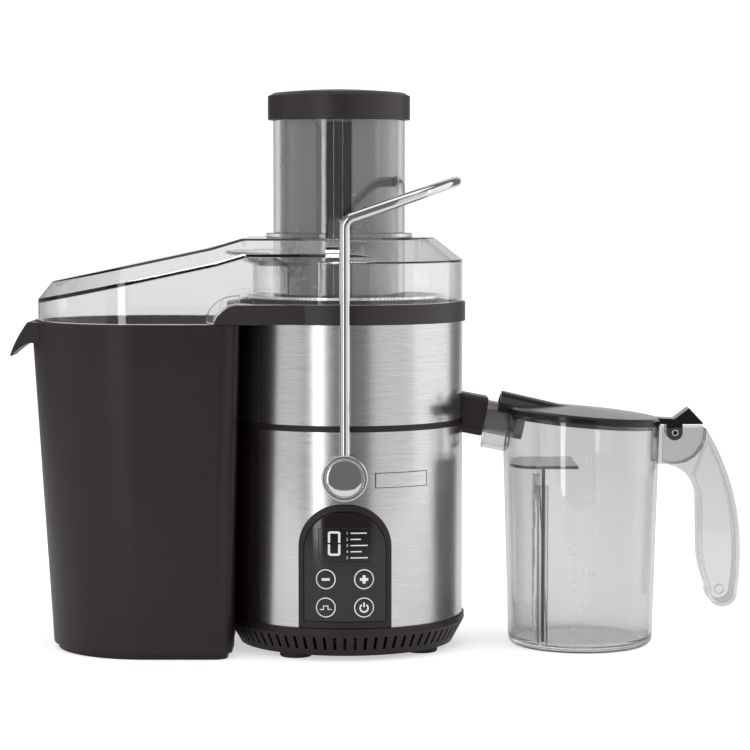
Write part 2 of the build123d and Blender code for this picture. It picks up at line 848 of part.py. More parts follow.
def latch_fin(back_y):
    """A fin on the cover with a notch at its top, where the arm's latch pin comes to rest."""
    with BuildPart() as fin:
        with BuildSketch(upright(y=back_y)):
            with BuildLine():
                Polyline(
                    (-fin_left, fin_foot_z),
                    (-fin_left + 4.0, latch_z + fin_peak),
                    (-fin_stop, latch_z + fin_peak),
                    (-fin_stop, fin_shoulder),
                    (0, fin_shoulder),
                )
                ThreePointArc(
                    (0, fin_shoulder),
                    (20.0, fin_shoulder - 5.5),
                    (fin_right - 1.5, fin_foot_z + 6.0),
                )
                Polyline((fin_right - 1.5, fin_foot_z + 6.0), (fin_right, fin_foot_z), (-fin_left, fin_foot_z))
            make_face()
        extrude(amount=fin_thickness)
    return fin.part


rear_fin = latch_fin(fin_outer_y)
front_fin = latch_fin(-fin_inner_y)
with BuildPart() as juice_cover:
    add(channel_shell)
    with Locations((body_x, 0, cover_base)):
        Cylinder(rim_radius + loose, 2 * (dome_base - cover_base), mode=Mode.SUBTRACT)
    add(apron_clearance, mode=Mode.SUBTRACT)
    add(dome_shell)
    add(rear_fin)
    add(front_fin)
    add(channel_space, mode=Mode.SUBTRACT)
    add(dome_space, mode=Mode.SUBTRACT)
    with Locations((chute_x, 0, dome_top_z)):
        Cylinder(chute_radius + snug, 20.0, mode=Mode.SUBTRACT)
finish(juice_cover.part, "juice_cover")

rib_half = 3.0
chute_bore = chute_radius - chute_wall
with BuildPart() as feed_chute:
    with BuildSketch(level(chute_base, chute_x)):
        Circle(chute_radius)
    extrude(amount=chute_top - chute_base)
    with BuildSketch(level(dome_top_z + snug, chute_x)):
        Circle(chute_flange_radius)
    extrude(amount=chute_flange)
    with BuildSketch(level(chute_base, chute_x)):
        Circle(chute_bore)
        with Locations((0, -chute_bore)):
            Rectangle(2 * rib_half, 2 * (pusher_wall + 0.2), mode=Mode.SUBTRACT)
    extrude(amount=chute_top - chute_base, mode=Mode.SUBTRACT)
finish(feed_chute.part, "feed_chute")

pusher_base = chute_base + 1.0
pusher_body_top = chute_top + 8.0
key_bottom = pusher_radius - key_depth - 0.8
with BuildPart() as pusher_body:
    with BuildSketch(level(pusher_base, chute_x)) as pusher_outline:
        Circle(pusher_radius)
        with Locations((0, -pusher_radius)):
            Rectangle(key_width, 2 * (pusher_radius - key_bottom), mode=Mode.SUBTRACT)
    extrude(amount=pusher_body_top - pusher_base)
    with BuildSketch(level(pusher_base + 3.0, chute_x)):
        Circle(pusher_radius - pusher_wall)
        with Locations((0, -pusher_radius)):
            Rectangle(
                key_width + 2 * pusher_wall,
                2 * (pusher_radius - key_bottom + pusher_wall),
                mode=Mode.SUBTRACT,
            )
    extrude(amount=pusher_body_top - pusher_base, mode=Mode.SUBTRACT)
finish(pusher_body.part, "pusher_body")

cap_base = chute_top + 0.3
cap_shoulder = cap_base + pusher_cap_side
with BuildPart() as pusher_cap:
    with BuildSketch(upright(x=chute_x)):
        with BuildLine():
            Polyline(
                (0, cap_shoulder + pusher_cap_crown - 2.5),
                (0, cap_shoulder + pusher_cap_crown),
            )
            ThreePointArc(
                (0, cap_shoulder + pusher_cap_crown),
                (28.0, cap_shoulder + pusher_cap_crown - 1.3),
                (pusher_cap_radius - 4.0, cap_shoulder + 1.2),
            )
            Polyline(
                (pusher_cap_radius - 4.0, cap_shoulder + 1.2),
                (pusher_cap_radius, cap_shoulder - 1.0),
                (pusher_cap_radius, cap_base),
                (pusher_radius + snug, cap_base),
                (pusher_radius + snug, cap_base + 2.5),
                (pusher_cap_radius - 2.5, cap_base + 2.5),
                (pusher_cap_radius - 2.5, cap_shoulder - 3.0),
                (0, cap_shoulder + pusher_cap_crown - 2.5),
            )
        make_face()
    revolve(axis=spindle(chute_x))
finish(pusher_cap.part, "pusher_cap")

# ======== locking arm ========

rise = radians(arm_handle_rise)
bend_start = arm_elbow_radius * tan((radians(90.0) - rise) / 2)
arm_end = (body_x + arm_handle_length * cos(rise), arm_elbow_z + arm_handle_length * sin(rise))
corner_start = arm_handle_length - arm_corner_radius


def on_handle(distance, y):
    """A point of the handle's centre line, at a distance up its slope."""
    return (body_x + distance * cos(rise), y, arm_elbow_z + distance * sin(rise))


arm_foot_z = arm_pivot_z + arm_hub_radius - 5.0
with BuildPart() as locking_arm:
    with BuildLine() as arm_path:
        leg = Line((body_x, -arm_y, arm_foot_z), (body_x, -arm_y, arm_elbow_z - bend_start))
        elbow = TangentArc(leg @ 1, on_handle(bend_start, -arm_y), tangent=(0, 0, 1))
        side = Line(elbow @ 1, on_handle(corner_start, -arm_y))
        corner = TangentArc(
            side @ 1,
            on_handle(arm_handle_length, -arm_y + arm_corner_radius),
            tangent=side % 1,
        )
        Line(corner @ 1, on_handle(arm_handle_length, 0))
    with BuildSketch(Plane(origin=leg @ 0, z_dir=(0, 0, 1))):
        Circle(arm_bar_radius)
    sweep()
    with BuildSketch(upright(y=-arm_y + 1.0)):
        with Locations((0, latch_z)):
            Circle(latch_pin_radius)
    extrude(amount=-(arm_y - 1.0 - fin_inner_y + 0.2))
    mirror(about=Plane.XZ)
finish(locking_arm.part, "locking_arm")

hub_inner_y = arm_y - arm_bar_radius
hub_outer_y = arm_y + arm_bar_radius
with BuildPart() as arm_hubs:
    with BuildSketch(upright(y=-hub_inner_y)):
        with Locations((0, arm_pivot_z)):
            Circle(arm_hub_radius)
            Circle(pivot_pin_radius + bearing_fit, mode=Mode.SUBTRACT)
    extrude(amount=hub_outer_y - hub_inner_y)
    with BuildSketch(Plane(origin=(body_x, -arm_y, arm_foot_z - 0.2), z_dir=(0, 0, 1))):
        Circle(arm_bar_radius + bearing_fit)
    extrude(amount=arm_hub_radius, mode=Mode.SUBTRACT)
    mirror(about=Plane.XZ)
finish(arm_hubs.part, "arm_hubs")

cap_y = hub_outer_y + snug
with BuildPart() as arm_hub_caps:
    with BuildSketch(upright(y=-cap_y)):
        with Locations((0, arm_pivot_z)):
            Circle(arm_cap_radius)
    extrude(amount=arm_cap_thickness)
    cap_rim = arm_hub_caps.faces().sort_by(Axis.Y)[0].edges()
    fillet(cap_rim, 1.0)
    with BuildSketch(upright(y=-cap_y - arm_cap_thickness)):
        with Locations((0, arm_pivot_z)):
            Circle(arm_cap_radius - 2.2)
    extrude(amount=-0.8, mode=Mode.SUBTRACT)
    mirror(about=Plane.XZ)
finish(arm_hub_caps.part, "arm_hub_caps")

pin_inner_y = inner_radius - 8.0
with BuildPart() as arm_pivot_pins:
    with BuildSketch(upright(y=-pin_inner_y)):
        with Locations((0, arm_pivot_z)):
            Circle(pivot_pin_radius)
    extrude(amount=hub_outer_y - 0.3 - pin_inner_y)
    mirror(about=Plane.XZ)
finish(arm_pivot_pins.part, "arm_pivot_pins")

nut_outer_y = sqrt(inner_radius ** 2 - 9.0 ** 2) - 0.2
with BuildPart() as pivot_nuts:
    with BuildSketch(upright(y=-nut_outer_y + 5.0)):
        with Locations((0, arm_pivot_z)):
            RegularPolygon(9.0, 6)
            Circle(pivot_pin_radius + snug, mode=Mode.SUBTRACT)
    extrude(amount=5.0)
    mirror(about=Plane.XZ)
finish(pivot_nuts.part, "pivot_nuts")


# ======== control panel ========

panel_back = core_radius + snug
face_base = panel_base + face_inset
face_top = panel_top - face_inset
face_opening = arch(panel_inner_half + snug, face_base, face_top + snug, face_corner + snug)
with BuildPart() as panel_bezel:
    add(arch(panel_half, panel_base, panel_top, panel_corner))
    add(ring(panel_back, body_radius + panel_proud, panel_base, panel_top), mode=Mode.INTERSECT)
    add(face_opening, mode=Mode.SUBTRACT)
    chamfer(panel_bezel.faces().filter_by(GeomType.CYLINDER).sort_by(Axis.Y)[0].edges(), 0.5)
finish(panel_bezel.part, "panel_bezel")

button_places = [(x, z) for z in button_rows for x in (-button_half_pitch, button_half_pitch)]
button_names = ["button_pulse", "button_power", "button_minus", "button_plus"]
face_radius = body_radius + panel_face_proud
window_middle = (window_base + window_top) / 2
window_height = window_top - window_base
with BuildPart() as panel_face:
    add(arch(panel_inner_half, face_base + snug, face_top, face_corner))
    add(ring(panel_back, face_radius, panel_base, panel_top), mode=Mode.INTERSECT)
    with BuildSketch(upright()):
        with Locations(*button_places):
            Circle(button_radius + button_clearance)
        with Locations((0, window_middle)):
            Rectangle(2 * window_half, window_height)
    extrude(amount=2 * body_radius, mode=Mode.SUBTRACT)
finish(panel_face.part, "panel_face")

with BuildPart() as display_lens:
    with BuildSketch(upright()):
        with Locations((0, window_middle)):
            Rectangle(2 * (window_half - snug), window_height - 2 * snug)
    extrude(amount=2 * body_radius)
    add(ring(face_radius - 2.0, face_radius, window_base, window_top), mode=Mode.INTERSECT)
finish(display_lens.part, "display_lens")

button_edge = button_half_pitch + button_radius
button_front_y = sqrt(face_radius ** 2 - button_half_pitch ** 2) + button_proud
flange_front_y = sqrt(panel_back ** 2 - (button_edge + 1.5) ** 2) - loose
flange_back_y = flange_front_y - 1.2


def push_button(x, z, name):
    """A round push button with the flange that holds it in behind the panel."""
    with BuildPart() as button:
        with BuildSketch(upright(y=-flange_back_y)):
            with Locations((x, z)):
                Circle(button_radius + 1.5)
        extrude(amount=flange_front_y - flange_back_y)
        with BuildSketch(upright(y=-flange_back_y)):
            with Locations((x, z)):
                Circle(button_radius)
        extrude(amount=button_front_y - flange_back_y)
        fillet(button.faces().sort_by(Axis.Y)[0].edges(), 0.5)
    finish(button.part, name)


for (place_x, place_z), place_name in zip(button_places, button_names):
    push_button(place_x, place_z, place_name)

button_travel = 1.0
tact_front_y = flange_back_y - button_travel - 0.3
board_front_y = tact_front_y - 3.4
board_half = sqrt(inner_radius ** 2 - board_front_y ** 2) - 0.3
board_low = button_rows[0] - 9.0
board_high = window_top + 3.0
with BuildPart() as control_board:
    with Locations((body_x, -board_front_y + 0.8, (board_low + board_high) / 2)):
        Box(2 * board_half, 1.6, board_high - board_low)
finish(control_board.part, "control_board")

with BuildPart() as tact_switches:
    for place_x, place_z in button_places:
        with Locations((body_x + place_x, -board_front_y - 1.2, place_z)):
            Box(6.0, 2.4, 6.0)
    with BuildSketch(upright(y=-board_front_y)):
        with Locations(*button_places):
            Circle(1.7)
    extrude(amount=tact_front_y - board_front_y)
finish(tact_switches.part, "tact_switches")

module_front_y = sqrt((face_radius - 2.0) ** 2 - window_half ** 2) - 0.6
with BuildPart() as display_module:
    with Locations((body_x, -(module_front_y + board_front_y) / 2, window_middle)):
        Box(2 * window_half - 2.0, module_front_y - board_front_y, window_height - 2.0)
finish(display_module.part, "display_module")

with BuildPart() as interlock_switch:
    with Locations((body_x, switch_depth / 2 - switch_outer_y, arm_pivot_z)):
        Box(2 * switch_half, switch_depth, 12.0)
    with Locations((body_x, -(switch_outer_y + pin_inner_y - 0.2) / 2, arm_pivot_z)):
        Box(4.0, pin_inner_y - 0.2 - switch_outer_y, 4.0)
finish(interlock_switch.part, "interlock_switch")

with BuildPart() as mains_gland:
    with BuildSketch(upright(y=body_radius + 7.0)):
        with Locations((0, gland_z)):
            Circle(gland_radius)
    extrude(amount=wall + 14.0)
    with BuildSketch(upright(y=body_radius + 1.6)):
        with Locations((0, gland_z)):
            Circle(gland_radius + 2.0)
    extrude(amount=1.6)
    with BuildSketch(upright(y=body_radius + 8.0)):
        with Locations((0, gland_z)):
            Circle(3.4)
    extrude(amount=wall + 20.0, mode=Mode.SUBTRACT)
finish(mains_gland.part, "mains_gland")

# ======== juice jug ========

jug_taper = (jug_top_radius - jug_foot_radius) / jug_rim_z
jug_blank = jug_rim_z + 12.0
rim_lean = radians(jug_rim_tilt)


def rim_plane(height=0.0):
    """The jug's sloping rim plane, or one above it, centred on the jug's axis."""
    return Plane(
        origin=(jug_x + height * sin(rim_lean), 0, jug_rim_z + height * cos(rim_lean)),
        x_dir=(cos(rim_lean), 0, -sin(rim_lean)),
        z_dir=(sin(rim_lean), 0, cos(rim_lean)),
    )


def jug_cone(inset, base, foot_round, top=jug_blank):
    """The jug's own tapering outline, drawn in by inset, from base up to top."""
    with BuildPart() as cone:
        with BuildSketch(upright(x=jug_x)) as outline:
            low = jug_foot_radius + jug_taper * base - inset
            high = jug_foot_radius + jug_taper * top - inset
            with BuildLine():
                Polyline((0, base), (low, base), (high, top), (0, top), close=True)
            make_face()
            if foot_round > 0:
                fillet(outline.vertices().sort_by_distance((low, base))[0], foot_round)
        revolve(axis=spindle(jug_x))
    return cone.part


def receiver_block(half, start, end):
    """A round-bottomed trough round the spout, between two distances along the spout."""
    with BuildPart() as trough:
        with BuildSketch(along_spout(start)):
            with Locations((0, -receiver_drop)):
                Circle(half)
            with Locations((0, 10.0)):
                Rectangle(2 * half, 2 * (receiver_drop + 10.0))
        extrude(amount=end - start)
    return trough.part


receiver_start = (jug_from_body - receiver_reach - spout_start) / cos(radians(spout_tilt))
receiver_end = receiver_start + receiver_reach - jug_top_radius + 6.0
receiver = receiver_block(receiver_half + jug_wall, receiver_start, receiver_end)
receiver_space = receiver_block(receiver_half, receiver_start - 2.0, receiver_end + 2.0)
jug_outline = jug_cone(0.0, 0.0, jug_foot_round)
jug_space = jug_cone(jug_wall, jug_floor, jug_foot_round - jug_wall, jug_blank + 2.0)
guide_chord = sqrt((jug_foot_radius - jug_wall) ** 2 - separator_x ** 2)
guide_offset = separator_gauge / 2 + 0.3 + 1.0
with BuildPart() as jug_body:
    add(jug_outline)
    add(receiver)
    add(jug_space, mode=Mode.SUBTRACT)
    add(receiver_space, mode=Mode.SUBTRACT)
    for side in (-1, 1):
        for offset_x in (-guide_offset, guide_offset):
            with Locations((
                jug_x + separator_x + offset_x,
                side * (guide_chord - 1.0),
                jug_floor + guide_height / 2,
            )):
                Box(2.0, 6.0, guide_height)
    split(bisect_by=rim_plane(), keep=Keep.BOTTOM)
    with BuildSketch(level(0, jug_x)):
        Circle(jug_foot_radius - jug_foot_round - 3.0)
    extrude(amount=0.8, mode=Mode.SUBTRACT)
finish(jug_body.part, "jug_body")

grip_inner = handle_reach - handle_grip
end_outer = (handle_reach - 1.8, handle_foot_z + handle_end_rise)
end_inner = (grip_inner + 6.3, handle_foot_z + handle_end_rise + 1.5)
pocket_slope = radians(70.0)


def handle_face(inset, y):
    """The handle's outline seen from the front, drawn in by inset, as a face at depth y."""
    with BuildSketch(upright(y=y, x=jug_x)) as outline:
        with BuildLine():
            Line((50.0, handle_top_z), (86.0, handle_top_z))
            ThreePointArc((86.0, handle_top_z), (102.0, 118.5), (handle_reach, handle_bulge_z))
            ThreePointArc((handle_reach, handle_bulge_z), (handle_reach - 0.4, 51.0), end_outer)
            ThreePointArc(end_outer, (handle_reach - 12.3, handle_foot_z), end_inner)
            ThreePointArc(end_inner, (grip_inner + 1.9, 53.0), (grip_inner, handle_bulge_z))
            Line((grip_inner, handle_bulge_z), (grip_inner - 0.7, handle_throat_z))
            ThreePointArc((grip_inner - 0.7, handle_throat_z), (73.5, 119.5), (50.0, 127.0))
            Line((50.0, 127.0), (50.0, handle_top_z))
        make_face()
        if inset > 0:
            offset(amount=-inset, mode=Mode.REPLACE)
    return outline.sketch


with BuildPart() as grip_pocket:
    add(handle_face(handle_border, 0.0))
    extrude(amount=handle_half + 1.0, dir=(0, -1, 0))
    rib_plane = Plane(
        origin=(jug_x + 81.7, 0, 133.6),
        x_dir=(0, 1, 0),
        z_dir=(sin(pocket_slope), 0, -cos(pocket_slope)),
    )
    split(bisect_by=rib_plane.offset(2.5), keep=Keep.TOP)
    split(bisect_by=upright(y=-handle_web / 2), keep=Keep.TOP)
    mirror(about=Plane.XZ)

jug_skin = jug_cone(-snug, 0.0, 0.0)
with BuildPart() as jug_handle:
    add(handle_face(0.0, handle_half))
    extrude(amount=2 * handle_half, dir=(0, -1, 0))
    add(grip_pocket.part, mode=Mode.SUBTRACT)
    add(jug_skin, mode=Mode.SUBTRACT)
    with BuildSketch(upright(y=lid_knuckle_half + loose, x=lid_x)):
        with Locations((0, lid_pivot_z)):
            Circle(lid_swing_radius)
            with Locations((-lid_swing_radius, 0)):
                Rectangle(27.0, 3 * lid_swing_radius, mode=Mode.SUBTRACT)
    extrude(amount=2 * (lid_knuckle_half + loose), mode=Mode.SUBTRACT)
    with BuildSketch(upright(y=handle_half + 1.0, x=lid_x)):
        with Locations((0, lid_pivot_z)):
            Circle(lid_pin_radius + snug)
    extrude(amount=2 * (handle_half + 1.0), mode=Mode.SUBTRACT)
    with BuildSketch(upright(y=3.0, x=jug_x)):
        with Locations((handle_reach - 13.0, handle_foot_z + handle_end_rise)):
            Circle(3.2)
    extrude(amount=6.0)
finish(jug_handle.part, "jug_handle")

with BuildPart() as lid_pin:
    with BuildSketch(upright(y=handle_half, x=lid_x)):
        with Locations((0, lid_pivot_z)):
            Circle(lid_pin_radius)
    extrude(amount=2 * handle_half)
    chamfer(lid_pin.edges(), 0.4)
finish(lid_pin.part, "lid_pin")

separator_space = jug_cone(jug_wall + loose, jug_floor + snug, jug_foot_round - jug_wall)
with BuildPart() as froth_separator:
    plate_height = separator_shelf_z - jug_floor
    with Locations((jug_x + separator_x, 0, jug_floor + plate_height / 2)):
        Box(separator_gauge, 2 * jug_top_radius, plate_height)
    with Locations((jug_x + separator_x + 1.5, 0, separator_shelf_z)):
        Box(45.0, 2 * shelf_half_depth, separator_gauge)
    add(separator_space, mode=Mode.INTERSECT)
finish(froth_separator.part, "froth_separator")

# ======== jug lid ========

lid_top = lid_gap + lid_thickness
with BuildPart() as hood:
    hood_lean = radians(hood_tilt)
    hood_plane = Plane(
        origin=(jug_x - hood_reach, 0, hood_axis_z),
        x_dir=(0, 1, 0),
        z_dir=(cos(hood_lean), 0, -sin(hood_lean)),
    )
    with BuildSketch(hood_plane):
        Circle(hood_radius)
    extrude(amount=hood_reach)
    split(bisect_by=rim_plane(lid_gap), keep=Keep.TOP)

lid_profile = Plane(
    origin=rim_plane().origin,
    x_dir=(cos(rim_lean), 0, -sin(rim_lean)),
    z_dir=(0, -1, 0),
)
with BuildPart() as jug_lid:
    with BuildSketch(lid_profile):
        with BuildLine():
            crown_top = lid_top + lid_crown
            ThreePointArc((0, crown_top), (27.0, crown_top - 1.4), (lid_radius - 3.0, lid_top + 0.5))
            Polyline(
                (lid_radius - 3.0, lid_top + 0.5),
                (lid_radius, lid_top - 0.8),
                (lid_radius, lid_gap),
                (lid_plug_radius, lid_gap),
                (lid_plug_radius, lid_gap - 3.5),
                (lid_plug_radius - 2.0, lid_gap - 3.5),
                (lid_plug_radius - 2.0, lid_gap + 2.0),
            )
            ThreePointArc(
                (lid_plug_radius - 2.0, lid_gap + 2.0),
                (25.0, crown_top - 3.8),
                (0, crown_top - 2.5),
            )
            Line((0, crown_top - 2.5), (0, crown_top))
        make_face()
    revolve(axis=Axis(rim_plane().origin, rim_plane().z_dir))
    add(hood.part)
    with BuildSketch(hood_plane.offset(-2.0)):
        Circle(hood_bore)
    extrude(amount=hood_bore_length, mode=Mode.SUBTRACT)
    with BuildSketch(upright(y=lid_knuckle_half, x=lid_x)):
        with BuildLine():
            Polyline(
                (-16.0, lid_pivot_z + tab_base_z),
                (tab_end_x, lid_pivot_z + tab_base_z),
                (tab_end_x - 0.4, lid_pivot_z + tab_base_z + 1.2),
                (tab_peak_x, lid_pivot_z + tab_peak_z),
                (0.0, lid_pivot_z + tab_base_z + 3.6),
                (-16.0, lid_pivot_z + tab_base_z + 4.4),
                close=True,
            )
        make_face()
        with Locations((0, lid_pivot_z)):
            Circle(2 * lid_pin_radius - 0.2)
        with Locations((0, lid_pivot_z + tab_base_z / 2)):
            Rectangle(4 * lid_pin_radius - 0.4, tab_base_z + 1.0)
        with Locations((0, lid_pivot_z)):
            Circle(lid_pin_radius + bearing_fit, mode=Mode.SUBTRACT)
    extrude(amount=2 * lid_knuckle_half)
finish(jug_lid.part, "jug_lid")

# ======== pulp container ========


def bin_block(inset, base, top):
    """The container's tapering outline, drawn in by inset, between two heights."""
    with BuildPart() as block:
        for z, blend in ((base, base / bin_top), (top, top / bin_top)):
            far = bin_foot_left + (bin_left - bin_foot_left) * blend - inset
            near = bin_foot_right + (bin_right - bin_foot_right) * blend + inset
            half = bin_foot_half + (bin_half - bin_foot_half) * blend - inset
            corner = bin_foot_corner + (bin_corner - bin_foot_corner) * blend - inset
            with BuildSketch(level(z, body_x - (far + near) / 2)) as outline:
                Rectangle(far - near, 2 * half)
                fillet(outline.vertices().group_by(Axis.X)[0], corner)
                fillet(outline.vertices().group_by(Axis.X)[-1], bin_near_corner - inset)
        loft(ruled=True)
    return block.part


lip_circle = 40.0
lip_blunt = 1.5         # the lip's straight tip is cut this far inside the circle
lip_height = 14.1       # of the lip where it leaves the wall
lip_root = -bin_left + 40.0
lip_low = bin_top - lip_height
with BuildPart() as pour_lip:
    with BuildSketch(upright(y=bin_half)):
        with BuildLine():
            Line((lip_root, bin_top), (-bin_left, bin_top))
            ThreePointArc((-bin_left, bin_top), (-lip_reach + 6.6, lip_z + 12.0), (-lip_reach, lip_z))
            Line((-lip_reach, lip_z), (-lip_reach + 1.2, lip_z - 0.7))
            ThreePointArc(
                (-lip_reach + 1.2, lip_z - 0.7),
                (-lip_reach + 7.5, lip_z + 5.0),
                (-bin_left + 1.0, lip_low),
            )
            Line((-bin_left + 1.0, lip_low), (lip_root, lip_low))
            Line((lip_root, lip_low), (lip_root, bin_top))
        make_face()
    extrude(amount=2 * bin_half)
    with Locations((body_x - lip_reach - lip_blunt + lip_circle, 0, lip_z)):
        Cylinder(lip_circle, 60.0, mode=Mode.INTERSECT)

bin_shell = bin_block(0.0, bin_foot_rise, bin_top)
bin_foot = bin_block(3.0, 0.0, bin_foot_rise + 0.5)
bin_space = bin_block(bin_wall, bin_foot_rise + bin_floor, bin_top + 1.0)
hollow_radius = body_radius + bin_body_gap
with BuildPart() as pulp_space:
    add(bin_space)
    with Locations((body_x, 0, bin_top / 2)):
        Cylinder(hollow_radius + bin_wall, 2 * bin_top, mode=Mode.SUBTRACT)

with BuildPart() as pulp_container:
    add(bin_shell)
    add(bin_foot)
    add(pour_lip.part)
    with Locations((body_x, 0, bin_top / 2)):
        Cylinder(hollow_radius, 2 * bin_top, mode=Mode.SUBTRACT)
    add(pulp_space.part, mode=Mode.SUBTRACT)
finish(pulp_container.part, "pulp_container")
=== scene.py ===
import json
import math

import bmesh
import bpy
from mathutils import Matrix, Vector


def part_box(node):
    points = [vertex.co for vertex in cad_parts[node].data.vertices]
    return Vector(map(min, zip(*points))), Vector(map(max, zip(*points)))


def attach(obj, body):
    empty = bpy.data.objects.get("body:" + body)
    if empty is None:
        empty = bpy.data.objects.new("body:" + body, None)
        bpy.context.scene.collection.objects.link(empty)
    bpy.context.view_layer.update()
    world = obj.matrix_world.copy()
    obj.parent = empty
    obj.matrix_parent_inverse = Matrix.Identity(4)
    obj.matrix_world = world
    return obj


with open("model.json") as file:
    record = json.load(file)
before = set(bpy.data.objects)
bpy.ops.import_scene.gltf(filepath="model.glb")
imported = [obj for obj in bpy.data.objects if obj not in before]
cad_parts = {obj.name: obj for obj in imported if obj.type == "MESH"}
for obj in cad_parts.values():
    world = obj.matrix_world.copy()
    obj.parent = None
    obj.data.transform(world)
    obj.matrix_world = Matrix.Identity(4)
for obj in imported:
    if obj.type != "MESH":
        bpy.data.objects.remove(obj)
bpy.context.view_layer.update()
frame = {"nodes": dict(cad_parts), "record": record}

scene = bpy.context.scene
mm = 0.001
origin = (0.0, 0.0, 0.0)
merge_distance = 1e-7

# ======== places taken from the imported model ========
wrap_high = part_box("lower_steel_wrap")[1]
motor_x = wrap_high.x - wrap_high.y
steel_radius = wrap_high.y
face_radius = -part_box("panel_face")[0].y
badge_low, badge_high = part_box("badge_plate")
jug_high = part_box("jug_body")[1]
jug_x = jug_high.x - jug_high.y


# ======== shader trees ========
def link(tree, source, target):
    tree.links.new(source, target)


def node_of(tree, kind, **values):
    """A new shader node with its plain inputs or properties set by name."""
    made = tree.nodes.new(kind)
    for key, value in values.items():
        if key in made.inputs:
            made.inputs[key].default_value = value
        else:
            setattr(made, key, value)
    return made


def maths(tree, operation, first, second):
    """A Math node; each operand is a socket or a number."""
    made = node_of(tree, "ShaderNodeMath", operation=operation)
    for index, operand in enumerate((first, second)):
        if hasattr(operand, "is_output"):
            link(tree, operand, made.inputs[index])
        else:
            made.inputs[index].default_value = operand
    return made.outputs[0]


def mix_shaders(tree, mask, first, second):
    """The first shader where the mask is 0, the second where it is 1."""
    mix = node_of(tree, "ShaderNodeMixShader")
    for index, source in enumerate((mask, first, second)):
        link(tree, source, mix.inputs[index])
    return mix.outputs[0]


def opaque(grey):
    """A plain grey as a colour with full cover."""
    return (grey, grey, grey, 1.0)


# ======== camera, floor and light ========
def add_camera():
    """The view from the front, a little above the cover."""
    sensor_width, lens_length = 36.0, 124.9104
    right_of_motor, distance, height = 0.02016, 1.8118, 0.3127
    look_down = 3.925
    data = bpy.data.cameras.new("front view")
    data.sensor_width = sensor_width
    data.lens = lens_length
    camera = bpy.data.objects.new("front view", data)
    camera.location = (motor_x + right_of_motor, -distance, height)
    camera.rotation_euler = (math.radians(90.0 - look_down), 0.0, 0.0)
    scene.collection.objects.link(camera)
    scene.camera = camera


def add_world():
    """White to the eye, dim walls in mirrors, pale walls through clear plastic, grey light."""
    room_light = 0.58
    walls = (("Is Glossy Ray", 0.20), ("Is Transmission Ray", 0.80), ("Is Camera Ray", 1.0))
    world = bpy.data.worlds.new("studio")
    scene.world = world
    world.use_nodes = True
    tree = world.node_tree
    tree.nodes.clear()
    path = node_of(tree, "ShaderNodeLightPath")
    result = node_of(tree, "ShaderNodeBackground", Color=opaque(room_light)).outputs[0]
    for ray, grey in walls:
        wall = node_of(tree, "ShaderNodeBackground", Color=opaque(grey))
        result = mix_shaders(tree, path.outputs[ray], result, wall.outputs[0])
    out = node_of(tree, "ShaderNodeOutputWorld")
    link(tree, result, out.inputs[0])


def paper_material():
    """Seamless white paper that stays white to the eye and still takes a soft shadow."""
    paper_grey, glow_grey, glow_in_reflections = 0.8, 0.55, 0.40
    material = bpy.data.materials.new("white paper")
    material.use_nodes = True
    tree = material.node_tree
    tree.nodes.clear()
    path = node_of(tree, "ShaderNodeLightPath")
    bent = maths(tree, "MAXIMUM", path.outputs["Is Transmission Ray"],
                 path.outputs["Is Glossy Ray"])
    dimmed = maths(tree, "MULTIPLY", bent, glow_in_reflections)
    seen = maths(tree, "MAXIMUM", path.outputs["Is Camera Ray"], dimmed)
    paper = node_of(tree, "ShaderNodeBsdfDiffuse", Color=opaque(paper_grey))
    glow = node_of(tree, "ShaderNodeEmission", Color=opaque(glow_grey))
    link(tree, seen, glow.inputs["Strength"])
    both = node_of(tree, "ShaderNodeAddShader")
    link(tree, paper.outputs[0], both.inputs[0])
    link(tree, glow.outputs[0], both.inputs[1])
    out = node_of(tree, "ShaderNodeOutputMaterial")
    link(tree, both.outputs[0], out.inputs[0])
    return material


def add_backdrop():
    """A sheet of paper under and behind the object, with a swept bend."""
    flat, bend, rise = 2.2, 0.9, 2.2
    width, strips, in_front = 2.0, 24, 0.60
    arc = bend * math.pi / 2
    bm = bmesh.new()
    bmesh.ops.create_grid(bm, x_segments=1, y_segments=strips, size=0.5)
    for vertex in bm.verts:
        reach = (vertex.co.y + 0.5) * (flat + arc + rise)
        vertex.co.x *= width
        if reach < flat:
            vertex.co.y, vertex.co.z = reach, 0.0
        elif reach < flat + arc:
            turn = (reach - flat) / bend
            vertex.co.y = flat + bend * math.sin(turn)
            vertex.co.z = bend * (1.0 - math.cos(turn))
        else:
            vertex.co.y = flat + bend
            vertex.co.z = bend + reach - flat - arc
        vertex.co.y -= in_front
    mesh = bpy.data.meshes.new("backdrop")
    bm.to_mesh(mesh)
    bm.free()
    mesh.materials.append(paper_material())
    for polygon in mesh.polygons:
        polygon.use_smooth = True
    sheet = bpy.data.objects.new("backdrop", mesh)
    scene.collection.objects.link(sheet)


def around(degrees, distance, height):
    """A place at an angle round the motor axis from the front, positive to the right."""
    turn = math.radians(degrees)
    return (motor_x + distance * math.sin(turn), -distance * math.cos(turn), height)


